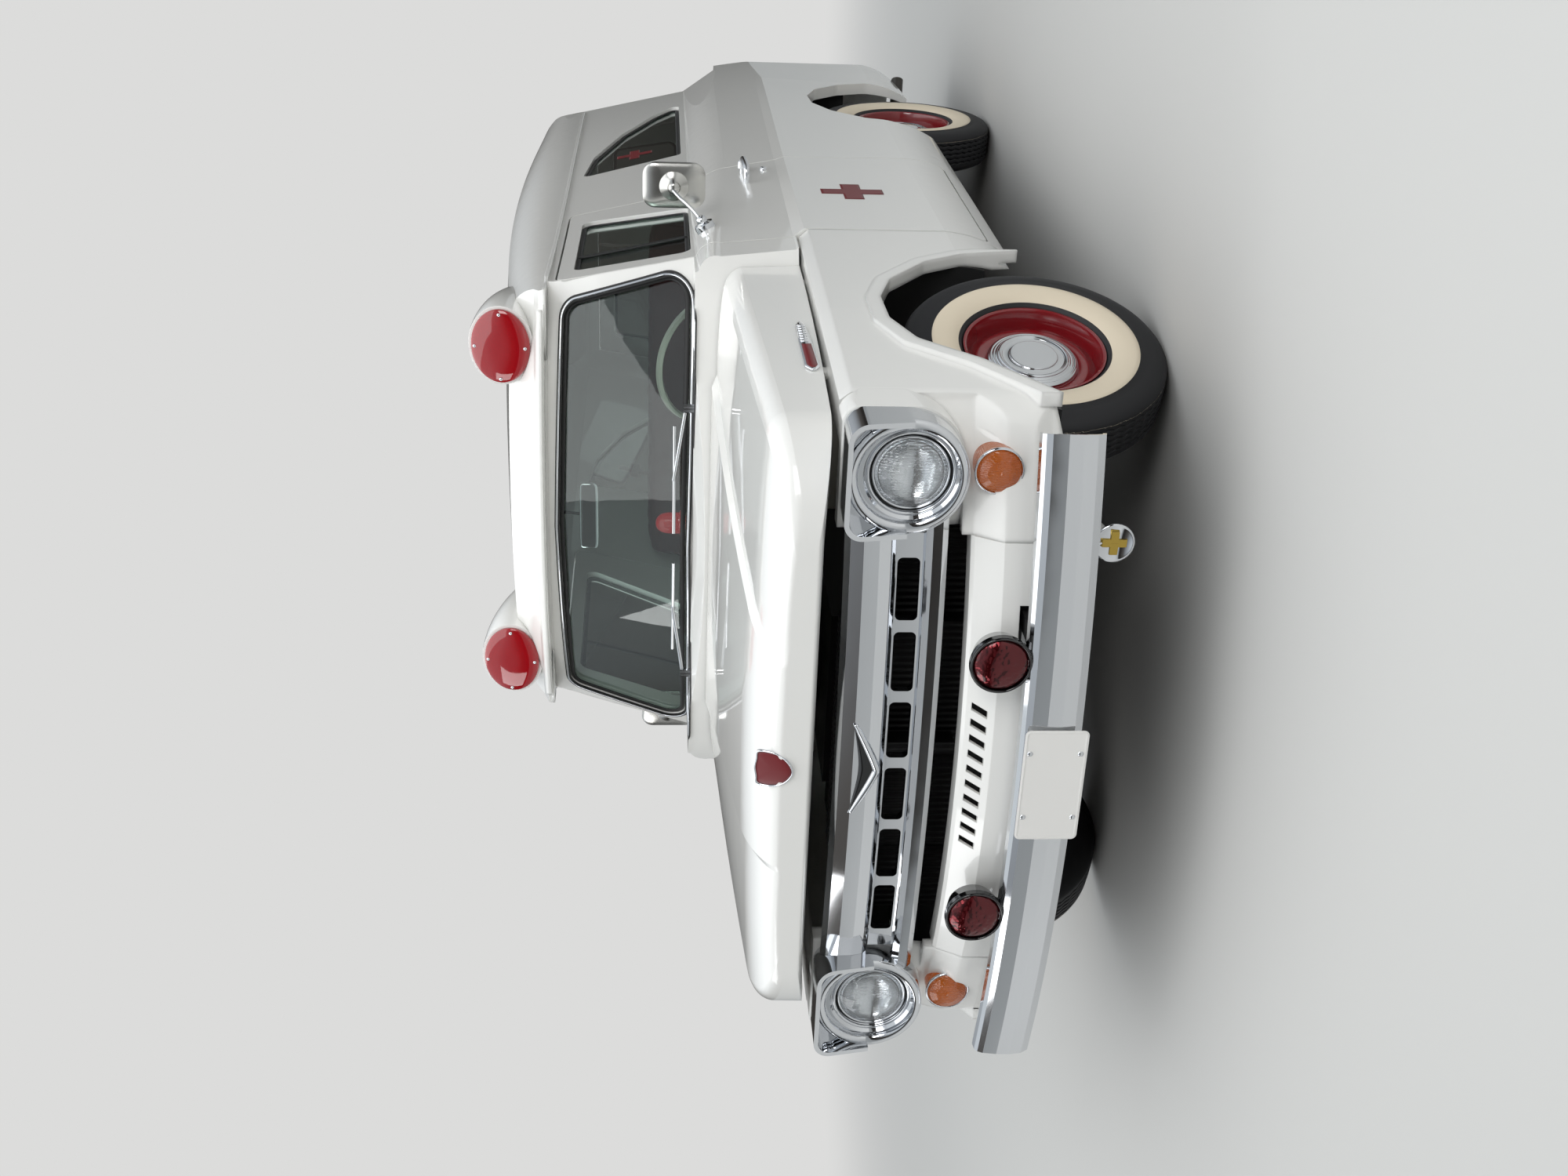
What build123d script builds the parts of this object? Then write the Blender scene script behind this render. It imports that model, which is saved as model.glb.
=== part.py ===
from build123d import *
from math import asin, cos, degrees, pi, sin, sqrt
import os

# Panel van ambulance of the late 1950s. Millimetres, nose towards -Y, left side +X, up +Z.
# All places are measured from the front axle; SHIFT then brings the middle of the length to y = 0.
SHIFT = -1488.75
WALL = 45.0
GAP = 6.0
SEAT = 0.3

# Wheels and steering.
WHEELBASE = 2794.0
AXLE_Z = 352.0
TYRE_R = 352.0
TYRE_HALF = 85.0
RIM_R = 190.0
WHEEL_X = 768.0
HUB_X = 746.0
KINGPIN_X = 690.0
STEER_REST = -16.0

# Half sections of the van body from front to rear. Each row: distance behind the front axle,
# then (half width, height) of the sill edge, lower side, side top, crease, belt, window base,
# eave and roof edge, then the height of the roof crown.
VAN_SECTIONS = [
    (300, (850, 285), (915, 480), (914, 908), (887, 940), (868, 1152), (838, 1216), (746, 1645), (622, 1752), 1768),
    (775, (850, 285), (918, 480), (917, 908), (890, 940), (868, 1160), (822, 1232), (722, 1665), (606, 1796), 1814),
    (1760, (850, 285), (910, 480), (907, 910), (895, 942), (862, 1120), (775, 1240), (670, 1688), (556, 1876), 1899),
    (2500, (850, 285), (912, 480), (907, 910), (895, 942), (858, 1112), (757, 1240), (658, 1692), (550, 1897), 1922),
    (3300, (840, 285), (902, 480), (900, 910), (891, 942), (852, 1112), (750, 1240), (650, 1692), (545, 1882), 1908),
    (4000, (800, 290), (874, 480), (873, 910), (868, 942), (836, 1115), (735, 1238), (634, 1692), (530, 1862), 1884),
]
VAN_BULGES = (14.0, 0.0, 0.0, 0.0, 16.0, 0.0, 34.0)

# Rear face of the van, seen from above at four heights: height, half width, place, corner radius.
TAIL_OUTLINES = [(1100, 836, 3895, 140), (1240, 738, 3884, 140), (1720, 634, 3848, 130), (1990, 575, 3826, 120)]
TAIL_Y = 3902.0
LOAD_BOARD = (630.0, 1880.0, 3800.0, 580.0)
ROOF_SEAM = 1682.0
COWL_SEAM = 660.0
TAIL_SEAM = 3840.0
TAIL_CORNER = 130.0

# Windscreen surface: height, place of its middle, radius seen from above.
SCREEN_LOW = (1150.0, 423.0, 1195.0)
SCREEN_HIGH = (1760.0, 646.0, 1266.0)
SCREEN_OUTLINE = [(-790, 1246), (-664, 1632), (0, 1650), (664, 1632), (790, 1246), (0, 1258)]
# Front slope of the roof above the windscreen's visor edge, at the middle: distance and height.
ROOF_FRONT = [(560, 1706), (600, 1722), (660, 1765), (729, 1811), (815, 1856), (1000, 2200)]
ROOF_FRONT_RADIUS = 1500.0
COWL_MIDDLE_Y = 342.0
COWL_RADIUS = 1480.0

# Side openings as (distance behind the front axle, height).
DOOR_OUTLINE = [(775, 345), (775, 1160), (786, 1232), (838, 1656), (1762, 1656), (1762, 345)]
DOOR_PIN = (910.0, 787.0)
DOOR_HINGES = (560.0, 840.0)
DOOR_WINDOW = [(860, 1246), (926, 1608), (1625, 1608), (1505, 1246)]
QUARTER_WINDOW = [(2447, 1262), (2372, 1640), (2700, 1606), (3060, 1500), (3330, 1370), (3470, 1262)]
FRONT_ARCH = [(-700, 372), (-410, 560), (-262, 700), (-100, 752), (80, 755), (240, 712), (420, 590), (505, 470),
              (548, 300), (548, 150), (-700, 150)]
REAR_ARCH = [(-418, 250), (-410, 410), (-345, 550), (-210, 672), (-60, 735), (90, 742), (232, 700), (345, 600),
             (405, 470), (416, 250)]

# Bonnet sections: distance, then (half width, height) of the lower edge, side top, shoulder, rib foot and
# rib top, then the height of the crown. The nose row is the tip that the front curves down to.
HOOD_ROWS = [
    (-560, (844, 940), (841, 1048), (788, 1092), (350, 1108), (330, 1121), 1127),
    (70, (852, 932), (848, 1080), (795, 1131), (460, 1152), (435, 1166), 1174),
    (700, (850, 932), (843, 1108), (790, 1160), (655, 1184), (620, 1201), 1209),
]
HOOD_NOSE = ((600, 976), (598, 1000), (566, 1024), (300, 1031), (284, 1034), 1037)
HOOD_TIP_Y = -806.0
HOOD_NOSE_STEPS = 6
HOOD_WALL = 25.0
HOOD_HINGE = (600.0, 1225.0)

# Front lamps and grille.
LAMP = (759.0, 766.0)
LAMP_FACE_Y = -690.0
BEZEL_R = 143.0
BEZEL_DROP = 11.0
BEZEL_TOP = 922.0
BEZEL_LOW = 634.0
FRONT_CORNER = 120.0
FRONT_FACE = [(-812, 1000), (-824, 608), (-866, 540), (-868, 470), (-846, 430), (-800, 280)]
LENS_R = 88.0
FRONT_LOW_MIDDLE = -852.0
FRONT_LOW_RADIUS = 1923.0
GRILLE_RADIUS = 3432.0
GRILLE_HALF = 612.0
GRILLE_STRUTS = (0.0, 185.0, 370.0, 555.0)
TURN_LAMP = (757.0, 558.0)
BUMPER_MIDDLE = -931.0
BUMPER_RADIUS = 3346.0
BUMPER_HALF = 888.0
BUMPER_LAMP = (358.0, -905.0, 552.0)
ROOF_LAMP = (545.0, 736.0, 1823.0)
ROOF_LAMP_LEAN = 8.0

# Frame under the body.
RAIL_X = 410.0
RAIL_HALF = 30.0
RAIL_LOW = 450.0
RAIL_HIGH = 560.0


def prism(plane, points, depth, radius=0.0):
    """A closed outline on a plane, rounded at its corners and pushed along the plane's normal."""
    with BuildPart() as work:
        with BuildSketch(plane) as outline:
            with BuildLine():
                Polyline(*points, close=True)
            make_face()
            if radius:
                fillet(outline.vertices(), radius)
        extrude(amount=depth)
    return work.part


def across(points, x0, x1, radius=0.0):
    """A side view outline of (y, z) between two half widths."""
    return prism(Plane.YZ.offset(x0), points, x1 - x0, radius)


def along(points, y0, y1, radius=0.0):
    """A front view outline of (x, z) between two places along the length."""
    return prism(Plane.XZ.offset(-y1), points, y1 - y0, radius)


def upward(points, z0, z1, radius=0.0):
    """A plan outline of (x, y) between two heights."""
    return prism(Plane.XY.offset(z0), points, z1 - z0, radius)


def block(x0, x1, y0, y1, z0, z1):
    """A square-edged block between two corners."""
    return upward([(x0, y0), (x1, y0), (x1, y1), (x0, y1)], z0, z1)


def rod(start, end, radius):
    """A round bar between two points."""
    a = Vector(*start)
    b = Vector(*end)
    with BuildPart() as work:
        with BuildSketch(Plane(origin=a, z_dir=b - a)):
            Circle(radius)
        extrude(amount=(b - a).length)
    return work.part


def turned(points, origin, axis_dir, x_dir):
    """A ring or disc: (radius, depth) points turned round an axis through the origin."""
    frame = Plane(origin=origin, x_dir=x_dir, z_dir=Vector(*x_dir).cross(Vector(*axis_dir)))
    with BuildPart() as work:
        with BuildSketch(frame):
            with BuildLine():
                Polyline(*points, close=True)
            make_face()
        revolve(axis=Axis(origin, axis_dir))
    return work.part


def bowed(points, middle_y, radius, half):
    """A cross section of (y, z) at the middle, carried along an arc seen from above."""
    centre_y = middle_y + radius
    swing = degrees(asin(half / radius))
    start = Plane(origin=(0, centre_y, 0), x_dir=(0, 1, 0), z_dir=(1, 0, 0)).rotated((0, 0, -swing))
    with BuildPart() as work:
        with BuildSketch(start):
            with BuildLine():
                Polyline(*[(y - centre_y, z) for y, z in points], close=True)
            make_face()
        revolve(axis=Axis((0, centre_y, 0), (0, 0, 1)), revolution_arc=2 * swing)
    return work.part


def bulged(a, b, amount):
    """The middle point of an arc from a to b that stands out by the amount."""
    span = Vector(b[0] - a[0], b[1] - a[1])
    side = Vector(span.Y, -span.X).normalized()
    return ((a[0] + b[0]) / 2 + side.X * amount, (a[1] + b[1]) / 2 + side.Y * amount)


def half_outline(points, bulges, crown):
    """Edges of a section that is the same on both sides, open only at nothing."""
    for sign in (1, -1):
        for a, b, amount in zip(points[:-1], points[1:], bulges):
            if amount:
                m = bulged(a, b, amount)
                ThreePointArc((sign * a[0], a[1]), (sign * m[0], m[1]), (sign * b[0], b[1]))
            else:
                Line((sign * a[0], a[1]), (sign * b[0], b[1]))
    top = points[-1]
    ThreePointArc((top[0], top[1]), (0, crown), (-top[0], top[1]))
    low = points[0]
    Line((low[0], low[1]), (-low[0], low[1]))


def screen_block(inset):
    """Everything behind the windscreen surface."""
    with BuildPart() as work:
        for z, middle, radius in (SCREEN_LOW, SCREEN_HIGH):
            reach = 1000.0
            front = middle + inset
            side = front + radius - sqrt(radius ** 2 - reach ** 2)
            with BuildSketch(Plane.XY.offset(z)):
                with BuildLine():
                    ThreePointArc((-reach, side), (0, front), (reach, side))
                    Polyline((reach, side), (reach, 4300), (-reach, 4300), (-reach, side))
                make_face()
        loft(ruled=True)
    return work.part


def tail_block(inset):
    """Everything ahead of the tail, with its upright corners rounded."""
    with BuildPart() as work:
        for z, half, place, radius in TAIL_OUTLINES:
            with BuildSketch(Plane.XY.offset(z)) as outline:
                with BuildLine():
                    Polyline((-half - 190, 100), (half + 190, 100), (half - inset, place - inset),
                             (inset - half, place - inset), close=True)
                make_face()
                fillet(outline.vertices().group_by(Axis.Y)[-1], radius - inset)
        loft(ruled=True)
        with BuildSketch(Plane.XY.offset(100)) as outline:
            with BuildLine():
                Polyline((-1037, 100), (1037, 100), (874 - inset, TAIL_Y - inset),
                         (inset - 874, TAIL_Y - inset), close=True)
            make_face()
            fillet(outline.vertices().group_by(Axis.Y)[-1], TAIL_CORNER - inset)
        extrude(amount=1000)
    return work.part


def envelope(inset):
    """The van body as one closed solid, drawn in by the inset on every side."""
    cowl_front = COWL_MIDDLE_Y + inset
    cowl_side = cowl_front + COWL_RADIUS - sqrt(COWL_RADIUS ** 2 - 1000.0 ** 2)
    with BuildPart() as cowl:
        with BuildSketch(Plane.XY.offset(100)):
            with BuildLine():
                ThreePointArc((-1000, cowl_side), (0, cowl_front), (1000, cowl_side))
                Polyline((1000, cowl_side), (1000, 4300), (-1000, 4300), (-1000, cowl_side))
            make_face()
        extrude(amount=2000)
    cowl_top = across([(0, 100), (0, 1190 - inset), (342, 1202 - inset), (460, 1238 - inset), (4300, 1238 - inset),
                       (4300, 100)], -1000, 1000)
    visor = ROOF_FRONT[0][0] + inset
    roof_side = visor + ROOF_FRONT_RADIUS - sqrt(ROOF_FRONT_RADIUS ** 2 - 1000.0 ** 2)
    with BuildPart() as roof:
        with BuildSketch(Plane.XY.offset(1690 + inset * 0.2)):
            with BuildLine():
                ThreePointArc((-1000, roof_side), (0, visor), (1000, roof_side))
                Polyline((1000, roof_side), (1000, 4300), (-1000, 4300), (-1000, roof_side))
            make_face()
        extrude(amount=600)
    slope = [(y + inset, z - inset) for y, z in ROOF_FRONT]
    roof_front = bowed([(300, slope[0][1])] + slope + [(300, 2200)], ROOF_FRONT[0][0] + inset, ROOF_FRONT_RADIUS, 1000)
    screen = screen_block(inset)
    tail = tail_block(inset)
    with BuildPart() as roof_line:
        with BuildSketch(Plane.YZ.offset(-1000)):
            with BuildLine():
                Polyline((0, 2100), (3500, 2100), (3590 - inset, 1905 - inset))
                ThreePointArc((3590 - inset, 1905 - inset), (3762 - inset, 1840 - inset), (3850 - inset, 1700))
                Polyline((3850 - inset, 1700), (4300, 1690), (4300, 0), (0, 0), (0, 2100))
            make_face()
        extrude(amount=2000)
    with BuildPart() as van:
        for row in VAN_SECTIONS:
            shifts = [(1, -0.9), (1, 0), (1, 0), (1, 0), (1, -0.2), (1, -0.3), (1, -0.2), (0.85, -0.9)]
            points = [(x - inset * kx, z + inset * kz) for (x, z), (kx, kz) in zip(row[1:9], shifts)]
            with BuildSketch(Plane.XZ.offset(-row[0])):
                with BuildLine():
                    half_outline(points, VAN_BULGES, row[9] - inset)
                make_face()
        loft()
        add(cowl.part, mode=Mode.INTERSECT)
        add(tail, mode=Mode.INTERSECT)
        add(roof_line.part, mode=Mode.INTERSECT)
        add(roof_front, mode=Mode.SUBTRACT)
    with BuildPart() as front:
        add(cowl_top)
        add(screen)
        add(roof.part)
    with BuildPart() as whole:
        add(van.part)
        add(front.part, mode=Mode.INTERSECT)
    return whole.part


def grown(points, amount):
    """An outline moved outwards by the amount, or inwards when it is negative."""
    count = len(points)
    area = sum(points[i][0] * points[(i + 1) % count][1] - points[(i + 1) % count][0] * points[i][1]
               for i in range(count))
    turn = 1.0 if area > 0 else -1.0
    result = []
    for i in range(count):
        a = Vector(*points[i - 1])
        b = Vector(*points[i])
        c = Vector(*points[(i + 1) % count])
        first = (b - a).normalized()
        second = (c - b).normalized()
        n1 = Vector(first.Y, -first.X) * turn
        n2 = Vector(second.Y, -second.X) * turn
        scale = amount / (1.0 + n1.dot(n2))
        result.append((b.X + (n1.X + n2.X) * scale, b.Y + (n1.Y + n2.Y) * scale))
    return result


def mirrored(shape):
    """The same shape on the other side."""
    return mirror(shape, about=Plane.YZ)


def save(shape, name):
    """Write one named piece, with the middle of the length at y = 0."""
    piece = shape.moved(Location((0, SHIFT, 0)))
    piece.label = name
    export_step(piece, f"parts/{name}.step")


def save_pair(shape, name):
    """Write the left piece and its mirror image as the right piece."""
    save(shape, name + "_left")
    save(mirrored(shape), name + "_right")


os.makedirs("parts", exist_ok=True)

skin = envelope(0.0)
inner = envelope(WALL)
glass_out = envelope(18.0)


def pane(fill, step):
    """A sheet of glass: what lies between the glass surface and the same surface moved inwards by the step."""
    with BuildPart() as work:
        add(glass_out)
        add(fill, mode=Mode.INTERSECT)
        add(glass_out.moved(Location(step)), mode=Mode.SUBTRACT)
    return work.part



# Openings shared by the body and what fills them.
door_cut = across(grown(DOOR_OUTLINE, GAP), 400, 1100, 40)
door_fill = across(DOOR_OUTLINE, 400, 1100, 34)
window_cut = across(DOOR_WINDOW, 400, 1100, 34)
window_fill = across(grown(DOOR_WINDOW, -SEAT), 400, 1100, 33.7)
quarter_cut = across(QUARTER_WINDOW, 400, 1100, 26)
quarter_fill = across(grown(QUARTER_WINDOW, -SEAT), 400, 1100, 25.7)
screen_cut = along(SCREEN_OUTLINE, 250, 832, 60)
screen_fill = along(grown(SCREEN_OUTLINE, -SEAT), 250, 832, 59.7)
screen_rim = along(grown(SCREEN_OUTLINE, 15), 250, 822, 74)
rear_arch = [(y + WHEELBASE, z) for y, z in REAR_ARCH]
rear_arch_cut = across(rear_arch, 500, 1100, 60)
rear_arch_rim = across(grown(rear_arch, 42), 500, 1100, 90)
front_arch_cut = across(FRONT_ARCH, 500, 1100, 60)
front_arch_rim = across(grown(FRONT_ARCH, 42), 500, 1100, 90)
REAR_PIN = (681.0, 3910.5)
REAR_PIN_R = 8.0
REAR_HINGES = (480.0, 960.0)
REAR_DOOR = [(5, 352), (676, 352), (676, 1095), (588, 1250), (520, 1628), (5, 1628)]
REAR_WINDOW = [(95, 1262), (500, 1262), (455, 1560), (95, 1560)]
rear_door_cut = along([(-5, 346), (682, 346), (682, 1097), (594, 1253), (525, 1634), (-5, 1634)], 3500, 4200)
rear_door_fill = along(REAR_DOOR, 3500, 4200)
rear_window_cut = along(REAR_WINDOW, 3500, 4200, 40)
rear_window_fill = along(grown(REAR_WINDOW, -SEAT), 3500, 4200, 39.7)



def hinge_leaf(z):
    """A door hinge's fixed leaf with its pin, inside the door's front edge."""
    x, y = DOOR_PIN
    with BuildPart() as work:
        add(upward([(866.7, 768.7), (869.3, 763.3), (x + 1.3, y - 2.7), (x - 1.3, y + 2.7)], z - 25, z + 25))
        add(rod((x, y, z - 34), (x, y, z + 34), 4))
    return work.part


def hinge_room(z):
    """The notch and the pin's bore in a side door."""
    x, y = DOOR_PIN
    with BuildPart() as work:
        add(block(840, x + 3.6, 770, y + 8, z - 26, z + 26))
        add(rod((x, y, z - 35), (x, y, z + 35), 4 + SEAT))
    return work.part


# Van body in its five panels: roof, cowl, two sides with pillars and sills, and the frame of the rear doors.
body_tools = [door_cut, quarter_cut, rear_arch_cut, rear_door_cut]
body_tools += [mirrored(tool) for tool in body_tools]
body_tools += [screen_cut, block(-1000, 1000, 0, 769, 0, 932), block(-1000, 1000, 0, 5000, 0, 286)]
with BuildPart() as body_shell:
    add(skin)
    add([inner] + body_tools, mode=Mode.SUBTRACT)
    for side in (1, -1):
        add(block(min(side * 800, side * 880), max(side * 800, side * 880), 690, 768, 480, 990))
    for z in DOOR_HINGES:
        for leaf in (hinge_leaf(z), mirrored(hinge_leaf(z))):
            add(leaf)
    seams = [block(-1000, 1000, 0, 5000, ROOF_SEAM, ROOF_SEAM + SEAT)]
    for y in (COWL_SEAM, TAIL_SEAM):
        seams.append(block(-1000, 1000, y, y + SEAT, 0, ROOF_SEAM + SEAT))
    add(seams, mode=Mode.SUBTRACT)
save(body_shell.part, "body_shell")

# Side doors, one slab each, with the glass held in the window.
with BuildPart() as door:
    add(skin)
    add(inner, mode=Mode.SUBTRACT)
    add(door_fill, mode=Mode.INTERSECT)
    add([window_cut] + [hinge_room(z) for z in DOOR_HINGES], mode=Mode.SUBTRACT)
save_pair(door.part, "door")

window_pane = pane(window_fill, (-6, 0, 0))
with BuildPart() as door_glass:
    add(window_pane)
save_pair(door_glass.part, "door_glass")

# Mirror arm and head, door handle and lock on each side door.
with BuildPart() as door_fittings:
    add(rod((846, 985, 1196), (878, 985, 1212), 24))
    add(rod((862, 985, 1206), (972, 1055, 1312), 6))
    add(turned([(0, 0), (52, 6), (52, 14), (18, 40), (0, 40)], (972, 1085, 1318), (0, -1, 0), (1, 0, 0)))
    with BuildSketch(Plane.XZ.offset(-1098)):
        with Locations((972, 1318)):
            RectangleRounded(120, 168, 34)
    extrude(amount=16)
    add(rod((860, 1640, 1058), (930, 1640, 1058), 11))
    add(rod((926, 1650, 1058), (926, 1500, 1050), 9))
    add(skin, mode=Mode.SUBTRACT)
save_pair(door_fittings.part, "door_fittings")

# Fixed glass: windscreen and rear quarter windows.
windscreen_pane = pane(screen_fill, (0, 6, 0))
with BuildPart() as windscreen_glass:
    add(windscreen_pane)
save(windscreen_glass.part, "windscreen_glass")

quarter_pane = pane(quarter_fill, (-6, 0, 0))
with BuildPart() as quarter_glass:
    add(quarter_pane)
    mirror(about=Plane.YZ)
save(quarter_glass.part, "quarter_glass")

# Bright rim round the windscreen.
with BuildPart() as windscreen_trim:
    add(skin.moved(Location((0, -9, 0))))
    add(screen_rim, mode=Mode.INTERSECT)
    add([skin, screen_cut], mode=Mode.SUBTRACT)
save(windscreen_trim.part, "windscreen_trim")

# Rear doors with their glass.
with BuildPart() as rear_door:
    add(skin)
    add(inner, mode=Mode.SUBTRACT)
    add(rear_door_fill, mode=Mode.INTERSECT)
    add(rear_window_cut, mode=Mode.SUBTRACT)
    for z in REAR_HINGES:
        add(block(626, REAR_PIN[0] - REAR_PIN_R + 0.5, TAIL_Y - 2, TAIL_Y + 4, z - 24, z + 24))
        for low, high in ((z - 34, z - 14), (z + 14, z + 34)):
            add(rod((*REAR_PIN, low), (*REAR_PIN, high), REAR_PIN_R))
            add(block(668, 680, TAIL_Y - 1, TAIL_Y + 10, low, min(high, low + 20)))
save_pair(rear_door.part, "rear_door")

with BuildPart() as rear_hinges:
    for z in REAR_HINGES:
        add(rod((*REAR_PIN, z - 14 + SEAT), (*REAR_PIN, z + 14 - SEAT), REAR_PIN_R))
        add(block(680, 735, TAIL_Y - 20, TAIL_Y + 4, z - 13, z + 13))
    add([skin, rear_door_fill], mode=Mode.SUBTRACT)
    mirror(about=Plane.YZ)
save(rear_hinges.part, "rear_hinges")

rear_pane = pane(rear_window_fill, (0, -6, 0))
with BuildPart() as rear_glass:
    add(rear_pane)
save_pair(rear_glass.part, "rear_glass")


def hood_row(y):
    """The bonnet's section points and crown at a place behind the nose's end, on straight lines between rows."""
    pairs = list(zip(HOOD_ROWS[:-1], HOOD_ROWS[1:]))
    low, high = next(((p, q) for p, q in pairs if y <= q[0]), pairs[-1])
    part = (y - low[0]) / (high[0] - low[0])
    points = [(p[0] + (q[0] - p[0]) * part, p[1] + (q[1] - p[1]) * part) for p, q in zip(low[1:6], high[1:6])]
    return points, low[6] + (high[6] - low[6]) * part


def hood_nose(angle):
    """Place, points and crown of a nose section: the plan and the side view follow a quarter of an ellipse."""
    base = HOOD_ROWS[0][0]
    y = base - (base - HOOD_TIP_Y) * sin(angle)
    points, crown = hood_row(y)
    grow = cos(angle)
    blended = [(n[0] + (p[0] - n[0]) * grow, n[1] + (p[1] - n[1]) * grow) for n, p in zip(HOOD_NOSE[:5], points)]
    return y, blended, HOOD_NOSE[5] + (crown - HOOD_NOSE[5]) * grow


def hood_sketch(y, points, crown, inset, drop):
    """One bonnet section on its plane, drawn in by the inset and let down by the drop."""
    shifts = ((1, 0), (1, 0), (1, 1), (0.3, 1), (0.3, 1))
    drawn = [(x - inset * kx, z - inset * kz) for (x, z), (kx, kz) in zip(points, shifts)]
    drawn[0] = (drawn[0][0], drawn[0][1] - drop)
    with BuildSketch(Plane.XZ.offset(-y)) as section:
        with BuildLine():
            half_outline(drawn, (0.0, 10.0, 4.0, 0.0), crown - inset)
        make_face()
    return section.sketch


def hood_solid(inset, drop):
    """The bonnet as one closed solid, drawn in by the inset."""
    base = HOOD_ROWS[0][0]
    with BuildPart() as nose:
        for step in range(HOOD_NOSE_STEPS):
            y, points, crown = hood_nose(pi / 2 * (1 - step / (HOOD_NOSE_STEPS - 1)))
            place = base + (y - base) * (1 - inset / (base - HOOD_TIP_Y))
            add(hood_sketch(place, points, crown, inset, drop))
        loft()
    with BuildPart() as work:
        for place in (base, HOOD_ROWS[1][0], HOOD_ROWS[2][0]):
            points, crown = hood_row(place)
            add(hood_sketch(place, points, crown, inset, drop))
        loft()
        add(nose.part)
    return work.part


hood_rear = COWL_MIDDLE_Y - GAP - 1.0
hood_rear_side = hood_rear + COWL_RADIUS - sqrt(COWL_RADIUS ** 2 - 1000.0 ** 2)
with BuildPart() as hood_plan:
    with BuildSketch(Plane.XY.offset(800)):
        with BuildLine():
            ThreePointArc((-1000, hood_rear_side), (0, hood_rear), (1000, hood_rear_side))
            Polyline((1000, hood_rear_side), (1000, -1000), (-1000, -1000), (-1000, hood_rear_side))
        make_face()
    extrude(amount=600)

# Bonnet with its raised middle and rounded lip.
with BuildPart() as hood:
    add(hood_solid(0.0, 0.0))
    add(hood_solid(HOOD_WALL, 80.0), mode=Mode.SUBTRACT)
    add(hood_plan.part, mode=Mode.INTERSECT)
save(hood.part, "hood")


def fender_loft(inset):
    """The left front wing before its front is shaped, drawn in by the inset."""
    rows = [(-900, 872, 892), (-560, 884, 908), (0, 890, 915), (768 + inset, 890, 918)]
    with BuildPart() as work:
        for y, ledge, side in rows:
            with BuildSketch(Plane.XZ.offset(-y)):
                with BuildLine():
                    a = (side - 66 - inset, 290 - inset)
                    b = (side - inset, 480)
                    m = bulged(a, b, 14)
                    ThreePointArc(a, m, b)
                    Polyline(b, (side - 1 - inset, 895), (ledge - inset, 925 - inset), (600 - inset, 925 - inset),
                             (600 - inset, 290 - inset), a)
                make_face()
        loft(ruled=True)
    return work.part


def front_form(inset):
    """Everything behind the nose's lower face, with the upright corner rounded off."""
    face = [(y + inset, z) for y, z in FRONT_FACE]
    with BuildPart() as work:
        add(bowed([(-500, 1000)] + face + [(-500, 200)], FRONT_LOW_MIDDLE, FRONT_LOW_RADIUS, 1000))
        add(block(-1000, 1000, -600, 1000, 0, 1000))
        with BuildSketch(Plane.XY) as plan:
            with BuildLine():
                low = FRONT_LOW_MIDDLE - 18 + inset
                ThreePointArc((0, low), *arc_points(low, FRONT_LOW_RADIUS, 905.0 - inset))
                corner = arc_points(low, FRONT_LOW_RADIUS, 905.0 - inset)[1]
                Polyline(corner, (940 - inset, 1000), (0, 1000), (0, low))
            make_face()
            fillet(plan.vertices().sort_by_distance((corner[0], corner[1], 0))[0], FRONT_CORNER - inset)
        extrude(amount=1000, mode=Mode.INTERSECT)
    return work.part


def bezel_outline(plane, amount):
    """The headlamp surround's outline, square shouldered above and round below, grown by the amount."""
    x, z = LAMP
    low = z + BEZEL_DROP
    with BuildSketch(plane) as outline:
        with BuildLine():
            Polyline((x - BEZEL_R - amount, low), (x + BEZEL_R + amount, low), (x + BEZEL_R + amount, BEZEL_TOP + amount),
                     (x - BEZEL_R - amount, BEZEL_TOP + amount), close=True)
        make_face()
        fillet(outline.vertices().group_by(Axis.Y)[-1], 48 + amount)
        with Locations((x, low)):
            Circle(BEZEL_R + amount)
    return outline.sketch


def bezel_block(amount, front, back):
    """The surround's outline pushed from its back to its front."""
    with BuildPart() as work:
        extrude(bezel_outline(Plane.XZ.offset(-back), amount), amount=back - front)
    return work.part


def arc_points(middle, radius, reach):
    """Middle and end of an arc seen from above that starts square to the centre line."""
    half = asin(reach / radius) / 2
    return ((radius * sin(half), middle + radius - radius * cos(half)),
            (reach, middle + radius - sqrt(radius ** 2 - reach ** 2)))


# Front wings: lamp housing, wheel arch with its lip, and rests for the bonnet.
with BuildPart() as wing_outer:
    add(fender_loft(0.0))
    add(front_form(0.0), mode=Mode.INTERSECT)
with BuildPart() as lamp_housing:
    add(bezel_block(4, LAMP_FACE_Y, -520))
    add(fender_loft(0.0), mode=Mode.INTERSECT)
with BuildPart() as wing_inner:
    add(fender_loft(30.0))
    add(front_form(30.0), mode=Mode.INTERSECT)
with BuildPart() as fender:
    add(wing_outer.part)
    add(wing_inner.part, mode=Mode.SUBTRACT)
    add(lamp_housing.part)
    add([block(500, 795, -640, 900, 0, 1000), block(500, 870, -600, 900, 0, 380), front_arch_cut,
         block(500, 1000, -1000, LAMP_FACE_Y, BEZEL_LOW, 1000),
         block(500, 880, 690, 900, 480, 1000)], mode=Mode.SUBTRACT)
with BuildPart() as fender_lip:
    add(front_arch_rim)
    add(block(888, 924, -640, 560, 300, 1000), mode=Mode.INTERSECT)
    add(front_arch_cut, mode=Mode.SUBTRACT)
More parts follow.
